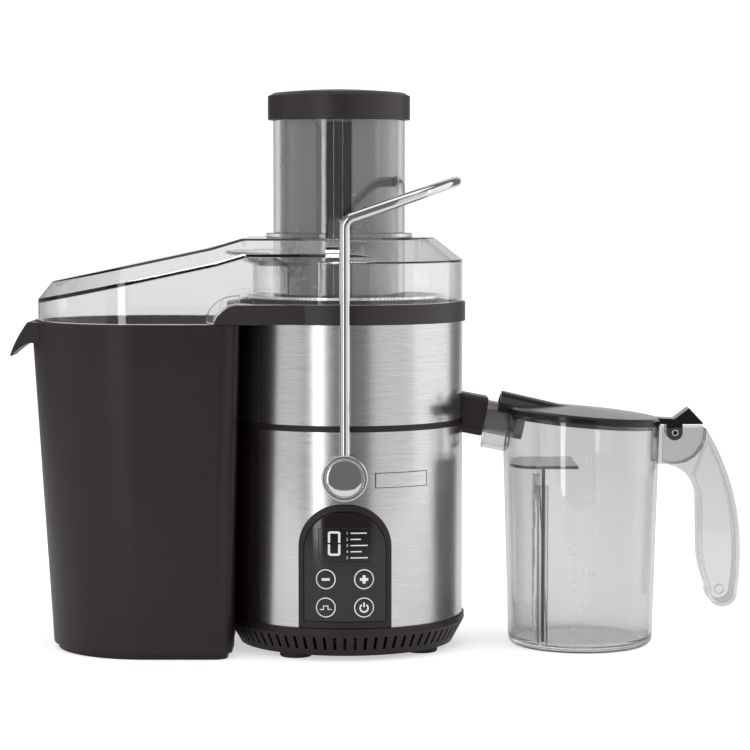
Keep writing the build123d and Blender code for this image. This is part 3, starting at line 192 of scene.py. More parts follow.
def add_lights():
    """Softboxes turned towards the motor, each with its size and the brightness of its face."""
    aim = Vector((motor_x, 0.0, 0.17))
    softboxes = (
        ("right softbox", around(48.0, 1.5, 0.45), 1.4, 1.5, 0.64),
        ("far right softbox", around(96.0, 1.5, 0.45), 1.5, 1.5, 1.05),
        ("strip light", around(-26.0, 1.7, 0.40), 0.22, 1.5, 4.6),
        ("left softbox", around(-71.0, 1.6, 0.45), 1.9, 1.4, 0.56),
        ("top softbox", (motor_x, -0.25, 1.7), 1.8, 1.2, 1.2),
    )
    for name, place, width, height, brightness in softboxes:
        data = bpy.data.lights.new(name, "AREA")
        data.shape = "RECTANGLE"
        data.size = width
        data.size_y = height
        data.energy = brightness * math.pi * width * height
        lamp = bpy.data.objects.new(name, data)
        lamp.location = place
        lamp.rotation_euler = (aim - Vector(place)).to_track_quat("-Z", "Y").to_euler()
        scene.collection.objects.link(lamp)


# ======== shared effects ========
def new_group(name, inputs, outputs):
    """An empty shader group with float inputs and typed outputs."""
    group = bpy.data.node_groups.new(name, "ShaderNodeTree")
    for label, value in inputs:
        socket = group.interface.new_socket(label, in_out="INPUT", socket_type="NodeSocketFloat")
        socket.default_value = value
    for label, kind in outputs:
        group.interface.new_socket(label, in_out="OUTPUT", socket_type="NodeSocket" + kind)
    return group, group.nodes.new("NodeGroupInput"), group.nodes.new("NodeGroupOutput")


def build_moulding_group():
    """Fine texture of a moulded plastic skin, with slow cloudy change in its gloss."""
    cloud_scale = 22.0
    group, enter, leave = new_group(
        "moulded skin",
        (("Grain Scale", 2500.0), ("Gloss", 0.4), ("Gloss Change", 0.08)),
        (("Roughness", "Float"), ("Height", "Float"), ("Mottle", "Float")),
    )
    place = node_of(group, "ShaderNodeTexCoord")
    grain = node_of(group, "ShaderNodeTexNoise", Detail=3.0, Roughness=0.6)
    link(group, place.outputs["Object"], grain.inputs["Vector"])
    link(group, enter.outputs["Grain Scale"], grain.inputs["Scale"])
    clouds = node_of(group, "ShaderNodeTexNoise", Scale=cloud_scale, Detail=5.0, Roughness=0.62)
    link(group, place.outputs["Object"], clouds.inputs["Vector"])
    link(group, grain.outputs["Fac"], leave.inputs["Height"])
    swing = maths(group, "SUBTRACT", clouds.outputs["Fac"], 0.5)
    swing = maths(group, "MULTIPLY", swing, enter.outputs["Gloss Change"])
    total = maths(group, "ADD", swing, enter.outputs["Gloss"])
    link(group, total, leave.inputs["Roughness"])
    link(group, clouds.outputs["Fac"], leave.inputs["Mottle"])
    return group


def build_brush_group():
    """Fine level brushing that runs round the motor body."""
    # Each layer of scratches: fineness up the body, fineness along it, and share.
    layers = ((7800.0, 110.0, 0.5), (3600.0, 60.0, 0.35), (1300.0, 25.0, 0.15))
    group, enter, leave = new_group(
        "level brushing",
        (("Lines", 1.0),),
        (("Streak", "Float"), ("Height", "Float")),
    )
    place = node_of(group, "ShaderNodeTexCoord")
    total = 0.0
    for upward, along, share in layers:
        stretch = node_of(group, "ShaderNodeMapping")
        stretch.inputs["Scale"].default_value = (along, along, upward)
        link(group, place.outputs["Object"], stretch.inputs["Vector"])
        noise = node_of(group, "ShaderNodeTexNoise", Scale=1.0, Detail=2.0, Roughness=0.55)
        link(group, stretch.outputs["Vector"], noise.inputs["Vector"])
        part = maths(group, "MULTIPLY", noise.outputs["Fac"], share)
        total = maths(group, "ADD", total, part)
    shifted = maths(group, "SUBTRACT", total, 0.5)
    scaled = maths(group, "MULTIPLY", shifted, enter.outputs["Lines"])
    link(group, maths(group, "ADD", scaled, 0.5), leave.inputs["Streak"])
    link(group, total, leave.inputs["Height"])
    return group


def build_edge_group():
    """A mask of a piece's sharp edges, and a normal that rounds them a little. The mask lightens
    opaque pieces as edge wear and draws painted dark lines on clear ones.
    """
    edge_gain = 3.0
    # On opaque pieces this mask is edge wear; on clear plastic it draws painted dark lines.
    group, enter, leave = new_group(
        "rubbed edges",
        (("Width", 0.0006),),
        (("Edge", "Float"), ("Normal", "Vector")),
    )
    rounded = node_of(group, "ShaderNodeBevel", samples=6)
    link(group, enter.outputs["Width"], rounded.inputs["Radius"])
    surface = node_of(group, "ShaderNodeNewGeometry")
    dot = node_of(group, "ShaderNodeVectorMath", operation="DOT_PRODUCT")
    link(group, rounded.outputs["Normal"], dot.inputs[0])
    link(group, surface.outputs["Normal"], dot.inputs[1])
    falloff = maths(group, "SUBTRACT", 1.0, dot.outputs["Value"])
    clamp = node_of(group, "ShaderNodeClamp")
    link(group, maths(group, "MULTIPLY", falloff, edge_gain), clamp.inputs["Value"])
    link(group, clamp.outputs[0], leave.inputs["Edge"])
    link(group, rounded.outputs["Normal"], leave.inputs["Normal"])
    return group


moulded_skin = build_moulding_group()
level_brushing = build_brush_group()
edge_wear_and_painted_lines = build_edge_group()


# ======== finishes ========
def new_finish(name, colour, roughness, metallic=0.0):
    """A material with a Principled shader, its tree and the shader."""
    material = bpy.data.materials.new(name)
    material.use_nodes = True
    tree = material.node_tree
    shader = tree.nodes["Principled BSDF"]
    shader.inputs["Base Color"].default_value = (*colour, 1.0)
    shader.inputs["Roughness"].default_value = roughness
    shader.inputs["Metallic"].default_value = metallic
    return material, tree, shader


def group_node(tree, group, **values):
    """A shared effect placed in a material; an underscore in a name stands for a space."""
    made = tree.nodes.new("ShaderNodeGroup")
    made.node_tree = group
    for label, value in values.items():
        made.inputs[label.replace("_", " ")].default_value = value
    return made


def skin_of(tree, shader, grain, gloss, change):
    """The moulded skin, placed so that it sets the shader's roughness."""
    skin = group_node(tree, moulded_skin, Grain_Scale=grain, Gloss=gloss, Gloss_Change=change)
    link(tree, skin.outputs["Roughness"], shader.inputs["Roughness"])
    return skin


def bump(tree, shader, height, strength, distance, normal=None):
    """Relief from a height, on top of a rounded normal where one is given."""
    made = node_of(tree, "ShaderNodeBump", Strength=strength, Distance=distance)
    link(tree, height, made.inputs["Height"])
    if normal is not None:
        link(tree, normal, made.inputs["Normal"])
    link(tree, made.outputs[0], shader.inputs["Normal"])


def tint_by(tree, shader, mask, dark, light):
    """Base Color that goes from dark to light with a mask."""
    mix = node_of(tree, "ShaderNodeMix", data_type="RGBA")
    link(tree, mask, mix.inputs["Factor"])
    colour_inputs = [socket for socket in mix.inputs if socket.type == "RGBA"]
    colour_inputs[0].default_value = (*dark, 1.0)
    colour_inputs[1].default_value = (*light, 1.0)
    result = [socket for socket in mix.outputs if socket.type == "RGBA"][0]
    link(tree, result, shader.inputs["Base Color"])


def plastic(name, dark, light, gloss, grain, depth, edge=0.0005, change=0.08, shine=0.5):
    """Opaque moulded plastic: cloudy colour, a fine skin and softly rubbed edges."""
    edge_share, cloud_share, grain_height = 0.8, 0.4, 0.0002
    material, tree, shader = new_finish(name, dark, gloss)
    skin = skin_of(tree, shader, grain, gloss, change)
    edges = group_node(tree, edge_wear_and_painted_lines, Width=edge)
    lift = maths(tree, "MULTIPLY", edges.outputs["Edge"], edge_share)
    clouds = maths(tree, "MULTIPLY", skin.outputs["Mottle"], cloud_share)
    tint_by(tree, shader, maths(tree, "ADD", lift, clouds), dark, light)
    bump(tree, shader, skin.outputs["Height"], depth, grain_height, edges.outputs["Normal"])
    shader.inputs["Specular IOR Level"].default_value = shine
    return material


def clear(name, colour, edge_on_shade, roughness, shade=(0.9, 0.9, 0.9), edge=0.0012, sharp=3.0,
          edge_line_shade=0.45, see_through=1.0):
    """See-through plastic with painted shade where it is looked at edge on and painted dark lines
    along its sharp edges, that lets lamp light through.
    """
    acrylic_ior, ripple_scale, ripple, ripple_height = 1.49, 60.0, 0.04, 0.001
    material, tree, shader = new_finish(name, colour, roughness)
    shader.inputs["Transmission Weight"].default_value = see_through
    shader.inputs["IOR"].default_value = acrylic_ior
    skin = skin_of(tree, shader, ripple_scale, roughness, roughness)
    edges = group_node(tree, edge_wear_and_painted_lines, Width=edge)
    bump(tree, shader, skin.outputs["Height"], ripple, ripple_height, edges.outputs["Normal"])
    # Painted shade: the colour turns to the second colour where the surface is seen edge on and
    # along sharp edges, in place of the dark surroundings seen in the plastic.
    lean = node_of(tree, "ShaderNodeLayerWeight", Blend=0.5)
    edge_on_shade_mask = maths(tree, "POWER", lean.outputs["Facing"], sharp)
    painted_edge_lines = maths(tree, "MULTIPLY", edges.outputs["Edge"], edge_line_shade)
    tint_by(tree, shader, maths(tree, "MAXIMUM", edge_on_shade_mask, painted_edge_lines), colour, edge_on_shade)
    path = node_of(tree, "ShaderNodeLightPath")
    thin = node_of(tree, "ShaderNodeBsdfTransparent", Color=(*shade, 1.0))
    surface = mix_shaders(tree, path.outputs["Is Shadow Ray"], shader.outputs[0], thin.outputs[0])
    link(tree, surface, tree.nodes["Material Output"].inputs["Surface"])
    return material


def metal(name, colour, roughness, scale=900.0, depth=0.05, spread=0.12):
    """Turned or stamped metal with a fine uneven skin."""
    dulling, edge_width, grain_height = 0.8, 0.0004, 0.0002
    material, tree, shader = new_finish(name, colour, roughness, 1.0)
    skin = skin_of(tree, shader, scale, roughness, spread)
    edges = group_node(tree, edge_wear_and_painted_lines, Width=edge_width)
    darker = tuple(channel * dulling for channel in colour)
    lift = maths(tree, "ADD", skin.outputs["Mottle"], edges.outputs["Edge"])
    tint_by(tree, shader, lift, darker, colour)
    bump(tree, shader, skin.outputs["Height"], depth, grain_height, edges.outputs["Normal"])
    return material


def brushed_steel(name):
    """Steel sheet with level brushing: streaks in colour, gloss and height."""
    dark, light = (0.47, 0.47, 0.465), (0.75, 0.75, 0.745)
    least_roughness, streak_roughness, stretch = 0.15, 0.08, 0.75
    material, tree, shader = new_finish(name, dark, least_roughness, 1.0)
    brushing = group_node(tree, level_brushing, Lines=2.2)
    tint_by(tree, shader, brushing.outputs["Streak"], dark, light)
    spread = maths(tree, "MULTIPLY", brushing.outputs["Streak"], streak_roughness)
    link(tree, maths(tree, "ADD", spread, least_roughness), shader.inputs["Roughness"])
    shader.inputs["Anisotropic"].default_value = stretch
    turn = node_of(tree, "ShaderNodeTangent", direction_type="RADIAL", axis="Z")
    link(tree, turn.outputs[0], shader.inputs["Tangent"])
    bump(tree, shader, brushing.outputs["Height"], 0.035, 0.00006)
    return material


def perforated_steel(name):
    """Sieve steel: rows of tiny holes punched through a bright sheet, drawn as dots of painted
    shade with a dent.
    """
    holes_per_metre, uneven, hole_radius = 900.0, 0.12, 0.3
    steel, hole_shade = (0.62, 0.62, 0.615), (0.03, 0.03, 0.03)
    material, tree, shader = new_finish(name, steel, 0.28, 1.0)
    place = node_of(tree, "ShaderNodeTexCoord")
    holes = node_of(tree, "ShaderNodeTexVoronoi", Scale=holes_per_metre, Randomness=uneven)
    link(tree, place.outputs["Object"], holes.inputs["Vector"])
    # Painted shade: each hole is a near-black dot, not an opening.
    hole = maths(tree, "LESS_THAN", holes.outputs["Distance"], hole_radius)
    tint_by(tree, shader, hole, steel, hole_shade)
    bump(tree, shader, maths(tree, "SUBTRACT", 1.0, hole), 0.6, 0.0003)
    return material


def laminated(name):
    """Stacked iron sheets seen from the side."""
    dark, light = (0.09, 0.09, 0.1), (0.34, 0.34, 0.35)
    material, tree, shader = new_finish(name, dark, 0.45, 0.8)
    brushing = group_node(tree, level_brushing, Lines=3.0)
    tint_by(tree, shader, brushing.outputs["Streak"], dark, light)
    bump(tree, shader, brushing.outputs["Height"], 0.5, 0.0004)
    return material


def wound_copper(name):
    """Enamelled copper wire laid in rows."""
    dark, light = (0.28, 0.09, 0.03), (0.72, 0.32, 0.12)
    material, tree, shader = new_finish(name, dark, 0.3, 0.7)
    place = node_of(tree, "ShaderNodeTexCoord")
    rows = node_of(tree, "ShaderNodeTexWave", Scale=520.0, Distortion=0.6, bands_direction="Z")
    link(tree, place.outputs["Object"], rows.inputs["Vector"])
    tint_by(tree, shader, rows.outputs["Fac"], dark, light)
    bump(tree, shader, rows.outputs["Fac"], 0.7, 0.0003)
    return material


def printed_board(name):
    """Green circuit board with copper tracks under the lacquer."""
    lacquer, lacquer_light = (0.015, 0.11, 0.04, 1.0), (0.02, 0.14, 0.06, 1.0)
    track_colour = (0.10, 0.24, 0.08, 1.0)
    material, tree, shader = new_finish(name, lacquer[:3], 0.3)
    place = node_of(tree, "ShaderNodeTexCoord")
    tracks = node_of(tree, "ShaderNodeTexBrick", Scale=160.0, Color1=lacquer,
                     Color2=lacquer_light, Mortar=track_colour)
    link(tree, place.outputs["Object"], tracks.inputs["Vector"])
    link(tree, tracks.outputs["Color"], shader.inputs["Base Color"])
    bump(tree, shader, tracks.outputs["Fac"], 0.3, 0.0001)
    return material


def raised_ink(name, gloss, grain, dark, light, depth):
    """Print or frosting that stands a little proud, with a slightly mottled colour."""
    material, tree, shader = new_finish(name, dark, gloss)
    skin = skin_of(tree, shader, grain, gloss, 0.1)
    tint_by(tree, shader, skin.outputs["Mottle"], dark, light)
    bump(tree, shader, skin.outputs["Height"], depth, 0.00005)
    return material


warm_black = (0.013, 0.0065, 0.006)
deep_black, rubbed_black = (0.008, 0.005, 0.005), (0.018, 0.014, 0.013)

# Opaque plastics: dark and light colour, roughness, grain scale and grain depth.
finishes = {
    "black_housing": plastic("black housing plastic", warm_black, (0.034, 0.023, 0.022),
                             0.46, 2600.0, 0.10, shine=0.3),
    "black_satin": plastic("black satin plastic", warm_black, (0.036, 0.025, 0.023),
                           0.42, 2300.0, 0.06, shine=0.36),
    "black_gloss": plastic("black gloss plastic", deep_black, rubbed_black,
                           0.10, 900.0, 0.01, change=0.03),
    "button_black": plastic("button plastic", (0.012, 0.010, 0.009), (0.05, 0.05, 0.05),
                            0.25, 2000.0, 0.03, edge=0.0004),
    "foot_rubber": plastic("foot rubber", (0.012, 0.012, 0.012), (0.03, 0.03, 0.03),
                           0.75, 1800.0, 0.3),
    "white_nylon": plastic("white nylon", (0.62, 0.61, 0.58), (0.78, 0.77, 0.74),
                           0.4, 1500.0, 0.06),
    "carbon": plastic("carbon", (0.02, 0.02, 0.022), (0.06, 0.06, 0.06), 0.55, 2200.0, 0.3),
    "brushed_wrap": brushed_steel("brushed steel sheet"),
    "bright_bar": metal("bright chrome", (0.74, 0.74, 0.74), 0.05, depth=0.01, spread=0.05),
    "steel_plain": metal("plain steel", (0.52, 0.52, 0.52), 0.3),
    "alloy": metal("cast alloy", (0.5, 0.5, 0.5), 0.45, scale=1400.0, depth=0.3),
    "steel_mesh": perforated_steel("sieve steel"),
    "laminations": laminated("motor laminations"),
    "copper": wound_copper("wound copper"),
    "board_green": printed_board("printed board"),
    # Clear plastics: colour, the painted shade it takes edge on and along sharp edges, then
    # roughness.
    "clear_plastic": clear("clear plastic", (0.975, 0.977, 0.975), (0.16, 0.16, 0.16), 0.02,
                           edge=0.0009, edge_line_shade=0.8),
    "grey_clear": clear("grey clear plastic", (0.30, 0.295, 0.29), (0.10, 0.10, 0.10), 0.08,
                        shade=(0.4, 0.4, 0.4)),
}
# Nodes whose own plastic differs from the rest of their slot.
own_finish = {
    # In each clear finish the second colour is painted shade, seen edge on and along sharp edges.
    "jug_body": clear("clear jug plastic", (0.83, 0.834, 0.832), (0.06, 0.06, 0.06), 0.02,
                      sharp=4.0),
    "jug_handle": clear("clear handle plastic", (0.74, 0.744, 0.742), (0.10, 0.10, 0.10), 0.02,
                        edge=0.0009, edge_line_shade=0.7),
    "pusher_body": clear("smoked pusher plastic", (0.125, 0.119, 0.117), (0.05, 0.048, 0.047),
                         0.25, shade=(0.3, 0.3, 0.3), see_through=0.30),
    "pusher_cap": plastic("cap plastic", (0.018, 0.0105, 0.010), (0.046, 0.034, 0.034),
                          0.42, 2300.0, 0.06, shine=0.45),
    "juice_bowl": plastic("bowl plastic", (0.020, 0.013, 0.014), (0.048, 0.039, 0.041),
                          0.40, 2300.0, 0.06, shine=0.45),
    "jug_lid": plastic("lid plastic", deep_black, rubbed_black, 0.20, 900.0, 0.01,
                       change=0.03, shine=0.35),
    "froth_separator": clear("smoked separator plastic", (0.20, 0.195, 0.19),
                             (0.02, 0.02, 0.02), 0.08, shade=(0.3, 0.3, 0.3)),
}
# Near black and with little shine: a real dark ribbed strip, partly painted shade of the pusher's
# groove.
groove_shade_plastic = plastic("strip plastic", (0.0015, 0.0012, 0.0012), (0.006, 0.005, 0.005),
                        0.42, 1500.0, 0.03, change=0.04, shine=0.12)
ink = raised_ink("pale ink", 0.5, 4000.0, (0.80, 0.80, 0.78), (0.95, 0.95, 0.93), 0.1)
frosted = raised_ink("raised frosting", 0.55, 3000.0, (0.60, 0.60, 0.60), (0.74, 0.74, 0.74), 0.2)

slot_of = {entry["node"]: entry["material_slot"] for entry in frame["record"]["subparts"]}
for node_name, cad_node in frame["nodes"].items():
    finish = own_finish.get(node_name) or finishes[slot_of[node_name]]
    for socket in cad_node.material_slots:
        socket.material = finish


# ======== making pieces ========
def spin_outline(corners, axis, start, sweep, steps):
    """A closed outline of points spun round an axis through the origin."""
    bm = bmesh.new()
    bm.faces.new([bm.verts.new(corner) for corner in corners])
    bmesh.ops.rotate(bm, cent=origin, verts=bm.verts,
                     matrix=Matrix.Rotation(math.radians(start), 3, Vector(axis)))
    whole = abs(sweep - 360.0) < 0.01
    if whole:
        bmesh.ops.delete(bm, geom=list(bm.faces), context="FACES_ONLY")
    outline = list(bm.verts) + list(bm.edges) + list(bm.faces)
    bmesh.ops.spin(bm, geom=outline, cent=origin, axis=axis, angle=math.radians(sweep),
                   steps=steps, use_merge=whole)
    bmesh.ops.remove_doubles(bm, verts=bm.verts, dist=merge_distance)
    return bm


def spin_profile(points, start, sweep, steps):
    """A closed outline of (radius, height) points spun round the upright axis."""
    corners = [(radius, 0.0, height) for radius, height in points]
    return spin_outline(corners, (0.0, 0.0, 1.0), start, sweep, steps)


def push_out(corners, way):
    """A flat closed outline given a thickness."""
    bm = bmesh.new()
    bm.faces.new([bm.verts.new(corner) for corner in corners])
    raised = bmesh.ops.extrude_face_region(bm, geom=list(bm.faces))
    far = [item for item in raised["geom"] if isinstance(item, bmesh.types.BMVert)]
    bmesh.ops.translate(bm, vec=way, verts=far)
    return bm


def face_outwards(bm, side, place):
    """Turns a disc made on the floor to look to the front (-1) or the back (1), and places it."""
    bmesh.ops.rotate(bm, cent=origin, matrix=Matrix.Rotation(-side * math.pi / 2, 3, "X"),
                     verts=bm.verts)
    bmesh.ops.translate(bm, vec=place, verts=bm.verts)


def merge_in(target, source):
    """Adds one bmesh's shape to another."""
    scratch = bpy.data.meshes.new("scratch")
    source.to_mesh(scratch)
    source.free()
    target.from_mesh(scratch)
    bpy.data.meshes.remove(scratch)


def finish_piece(name, bm, material, body, smooth=False):
    """Links a finished bmesh as a piece that rides a body."""
    bmesh.ops.remove_doubles(bm, verts=bm.verts, dist=merge_distance)
    bmesh.ops.recalc_face_normals(bm, faces=bm.faces)
    mesh = bpy.data.meshes.new(name)
    bm.to_mesh(mesh)
    bm.free()
    mesh.materials.append(material)
    for polygon in mesh.polygons:
        polygon.use_smooth = smooth
    piece = bpy.data.objects.new(name, mesh)
    scene.collection.objects.link(piece)
    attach(piece, body)


# ======== printed marks ========
ink_thickness = 0.08 * mm


def mark_bar(bm, x, z, width, height, cuts=0):
    """A thin flat bar about x, z that lies across Y = 0, cut along its length where it bends."""
    part = bmesh.new()
    bmesh.ops.create_cube(part, size=1.0)
    bmesh.ops.scale(part, vec=(width, ink_thickness, height), verts=part.verts)
    if cuts:
        long_edges = [edge for edge in part.edges
                      if abs(edge.verts[0].co.x - edge.verts[1].co.x) > 0.5 * width]
        bmesh.ops.subdivide_edges(part, edges=long_edges, cuts=cuts, use_grid_fill=True)
    bmesh.ops.translate(part, vec=(x, 0.0, z), verts=part.verts)
    merge_in(bm, part)


def mark_ring(bm, x, z, inner, outer, start=0.0, sweep=360.0, steps=48):
    """A thin flat ring, or part of one, spun from its cross-section."""
    half = ink_thickness / 2
    section = ((inner, -half, 0.0), (outer, -half, 0.0), (outer, half, 0.0), (inner, half, 0.0))
    ring = spin_outline(section, (0.0, -1.0, 0.0), start, sweep, steps)
    bmesh.ops.translate(ring, vec=(x, 0.0, z), verts=ring.verts)
    merge_in(bm, ring)


def mark_text(bm, words, x, z, height):
    """Plain upright figures, centred on x, z."""
    size_per_height = 1.4
    curve = bpy.data.curves.new("figures", "FONT")
    curve.body = words
    curve.size = height * size_per_height
    curve.align_x = "CENTER"
    curve.align_y = "CENTER"
    curve.extrude = ink_thickness / 2
    curve.resolution_u = 3
    holder = bpy.data.objects.new("figures", curve)
    scene.collection.objects.link(holder)
    shaped = holder.evaluated_get(bpy.context.evaluated_depsgraph_get())
    mesh = bpy.data.meshes.new_from_object(shaped)
    part = bmesh.new()
    part.from_mesh(mesh)
    bpy.data.objects.remove(holder)
    bpy.data.curves.remove(curve)
    bpy.data.meshes.remove(mesh)
    bmesh.ops.remove_doubles(part, verts=part.verts, dist=merge_distance)
    bmesh.ops.rotate(part, cent=origin, matrix=Matrix.Rotation(math.pi / 2, 3, "X"),
                     verts=part.verts)
    bmesh.ops.translate(part, vec=(x, 0.0, z), verts=part.verts)
    merge_in(bm, part)


def bend_round(bm, centre_x, radius):
    """Wraps flat marks drawn about x = 0 onto an upright round face that looks to the front.

    radius is a number, or a function of height that gives one.
    """
    for vertex in bm.verts:
        reach = radius(vertex.co.z) if callable(radius) else radius
        turn = vertex.co.x / reach
        out = reach - vertex.co.y
        vertex.co.x = centre_x + out * math.sin(turn)
        vertex.co.y = -out * math.cos(turn)


def add_display_figures():
    """The display's large lit nought, and its five numbered rows of bars."""
    figure_x, figure_low, figure_high, figure_width = -7.2 * mm, 72.8 * mm, 89.3 * mm, 8.4 * mm
    stroke, level_overlap, upright_gap = 1.5 * mm, 0.9 * mm, 1.1 * mm
    first_row, row_pitch, row_stroke = 88.0 * mm, 4.15 * mm, 0.75 * mm
    number_x, number_height, bar_start = 1.6 * mm, 1.9 * mm, 3.8 * mm
    bar_lengths = (11.0 * mm, 7.0 * mm, 11.6 * mm, 7.6 * mm, 11.6 * mm)
    lit = bmesh.new()
    level_length = figure_width - 2 * stroke + level_overlap
    middle = (figure_low + figure_high) / 2
    upright_length = (figure_high - figure_low) / 2 - upright_gap
    for z in (figure_low + stroke / 2, figure_high - stroke / 2):
        mark_bar(lit, figure_x, z, level_length, stroke, cuts=2)
    for side in (-1, 1):
        for z in ((figure_low + middle) / 2, (figure_high + middle) / 2):
            x = figure_x + side * (figure_width - stroke) / 2
            mark_bar(lit, x, z, stroke, upright_length)
    for row, length in enumerate(bar_lengths):
        z = first_row - row * row_pitch
        mark_text(lit, str(row + 1), number_x, z, number_height)
        mark_bar(lit, bar_start + length / 2, z, length, row_stroke, cuts=4)
    bend_round(lit, motor_x, face_radius)
    finish_piece("display_figures", lit, ink, "base")


def add_button_rings():
    """A printed ring on the panel round each button."""
    inner, outer = 5.98 * mm, 6.75 * mm
    rings = bmesh.new()
    for name in ("button_minus", "button_plus", "button_pulse", "button_power"):
        low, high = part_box(name)
        x = (low.x + high.x) / 2 - motor_x
        z = (low.z + high.z) / 2
        mark_ring(rings, math.asin(x / face_radius) * face_radius, z, inner, outer)
    bend_round(rings, motor_x, face_radius)
    finish_piece("button_rings", rings, ink, "base")


def add_button_mark(name, body, draw):
    """A symbol on the flat front of a push button, drawn about the button's middle."""
    low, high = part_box(name)
    mark = bmesh.new()
    draw(mark)
    middle = ((low.x + high.x) / 2, low.y, (low.z + high.z) / 2)
    bmesh.ops.translate(mark, vec=middle, verts=mark.verts)
    finish_piece(name + "_symbol", mark, ink, body)


def draw_minus(mark):
    length, thick = 5.4 * mm, 1.7 * mm
    mark_bar(mark, 0.0, 0.0, length, thick)


def draw_plus(mark):
    length, thick = 5.6 * mm, 2.0 * mm
    arm = (length - thick) / 2
    mark_bar(mark, 0.0, 0.0, length, thick)
    for side in (1, -1):
        mark_bar(mark, 0.0, side * (thick + arm) / 2, thick, arm)


def draw_pulse(mark):
    """A square pulse on a line."""
    stroke, half_height, half_width = 0.6 * mm, 1.2 * mm, 1.5 * mm
    foot_x, foot_length, top_length = 2.9 * mm, 2.2 * mm, 2.4 * mm
    mark_bar(mark, 0.0, half_height, top_length, stroke)
    for side in (-1, 1):
        mark_bar(mark, side * foot_x, -half_height, foot_length, stroke)
        mark_bar(mark, side * half_width, 0.0, stroke, 2 * half_height + stroke)


def draw_power(mark):
    """A broken ring with an upright stroke through its gap."""
    ring_z, inner, outer = -0.2 * mm, 2.1 * mm, 3.2 * mm
    stroke_z, stroke, stroke_height = 2.0 * mm, 1.1 * mm, 3.2 * mm
    mark_ring(mark, 0.0, ring_z, inner, outer, start=125.0, sweep=290.0, steps=30)
    mark_bar(mark, 0.0, stroke_z, stroke, stroke_height)


def jug_wall(z):
    """The jug's outside radius at a height."""
    foot_radius, rim_radius, rim_z = 50.1 * mm, 54.8 * mm, 158.5 * mm
    return foot_radius + (rim_radius - foot_radius) * z / rim_z


def add_jug_marks():
    """Measuring lines with plain numbers up the front of the jug."""
    lowest_line, line_pitch, line_stroke = 11.5 * mm, 6.45 * mm, 0.5 * mm
    line_start, long_width, short_width = -9.5 * mm, 5.0 * mm, 2.6 * mm
    number_x, number_height = 1.6 * mm, 4.6 * mm
    full, step_volume, numbered = 1000, 50, 200
    marks = bmesh.new()
    for step, millilitres in enumerate(range(step_volume, full + 1, step_volume)):
        z = lowest_line + step * line_pitch
        long_line = millilitres % numbered == 0
        width = long_width if long_line else short_width
        mark_bar(marks, line_start + width / 2, z, width, line_stroke, cuts=1)
        if long_line:
            words = "1L" if millilitres == full else str(millilitres)
            mark_text(marks, words, number_x, z, number_height)
    bend_round(marks, jug_x, jug_wall)
    finish_piece("jug_measuring_marks", marks, frosted, "jug")


# ======== small trim ========
def add_badge_frame():
    """A thin dark border round the bare badge."""
    border_width, thickening, lift = 0.45 * mm, 2.0, 0.03 * mm
    badge_front, badge_back = steel_radius + 0.55 * mm, steel_radius + 0.05 * mm
    start = math.asin((badge_low.x - motor_x) / badge_front) * badge_front
    end = math.asin((badge_high.x - motor_x) / badge_back) * badge_front
    upright_height = badge_high.z - badge_low.z - 3 * border_width
    border = bmesh.new()
    for z in (badge_high.z - border_width, badge_low.z + border_width):
        mark_bar(border, (start + end) / 2, z, end - start - border_width, border_width, cuts=12)
    for x in (start + border_width, end - border_width):
        mark_bar(border, x, (badge_low.z + badge_high.z) / 2, border_width, upright_height)
    for vertex in border.verts:
        vertex.co.y *= thickening
    bend_round(border, motor_x, badge_front + lift)
    finish_piece("badge_border", border, finishes["black_gloss"], "base")


def add_hub_domes():
    """A shallow polished disc in the recess of each of the arm's hub caps."""
    cap_low, cap_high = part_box("arm_hub_caps")
    middle_x, middle_z = (cap_low.x + cap_high.x) / 2, (cap_low.z + cap_high.z) / 2
    recess, disc_radius, groove = 0.8 * mm, 12.9 * mm, 11.9 * mm
    bead, bead_height, rim_height, groove_height = 0.4 * mm, 0.40 * mm, 0.25 * mm, 0.15 * mm
    lip, lip_height, dome_foot, dome_rise = 0.3 * mm, 0.24 * mm, 0.28 * mm, 0.48 * mm
    outline = [(0.0, 0.0), (disc_radius, 0.0), (disc_radius, rim_height),
               (groove + bead, bead_height), (groove, groove_height), (groove - lip, lip_height)]
    for share in (0.2, 0.4, 0.6, 0.8, 1.0):
        outline.append((groove * (1.0 - share), dome_foot + dome_rise * share * (2.0 - share)))
    for side, name in ((-1, "front"), (1, "rear")):
        dome = spin_profile(outline, 0.0, 360.0, 64)
        face_outwards(dome, side, (middle_x, side * (cap_high.y - recess), middle_z))
        finish_piece("hub_disc_" + name, dome, finishes["bright_bar"], "arm",
                     smooth=True)


def add_key_strip():
    """The ribbed strip down the groove at the pusher's front, a dark part made near black and low
    in shine as painted shade of the groove.
    """
    low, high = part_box("pusher_body")
    chute_x = (low.x + high.x) / 2
    groove_y, strip_half, skin, ridge = -38.0 * mm, 8.4 * mm, 0.5 * mm, 0.55 * mm
    foot_gap, shorter = 1.0 * mm, 11.0 * mm
    ridges = 7
    ridge_from, ridge_to = 0.3, 0.7
    pitch = 2 * strip_half / ridges
    outline = [(-strip_half, 0.0)]
    for index in range(ridges):
        left = -strip_half + index * pitch
        outline += [(left, -skin), (left + ridge_from * pitch, -skin - ridge),
                    (left + ridge_to * pitch, -skin - ridge)]
    outline += [(strip_half, -skin), (strip_half, 0.0)]
    corners = [(chute_x + x, groove_y + y, low.z + foot_gap) for x, y in outline]
    strip = push_out(corners, (0.0, 0.0, high.z - low.z - shorter))
    finish_piece("pusher_key_strip", strip, groove_shade_plastic, "pusher")


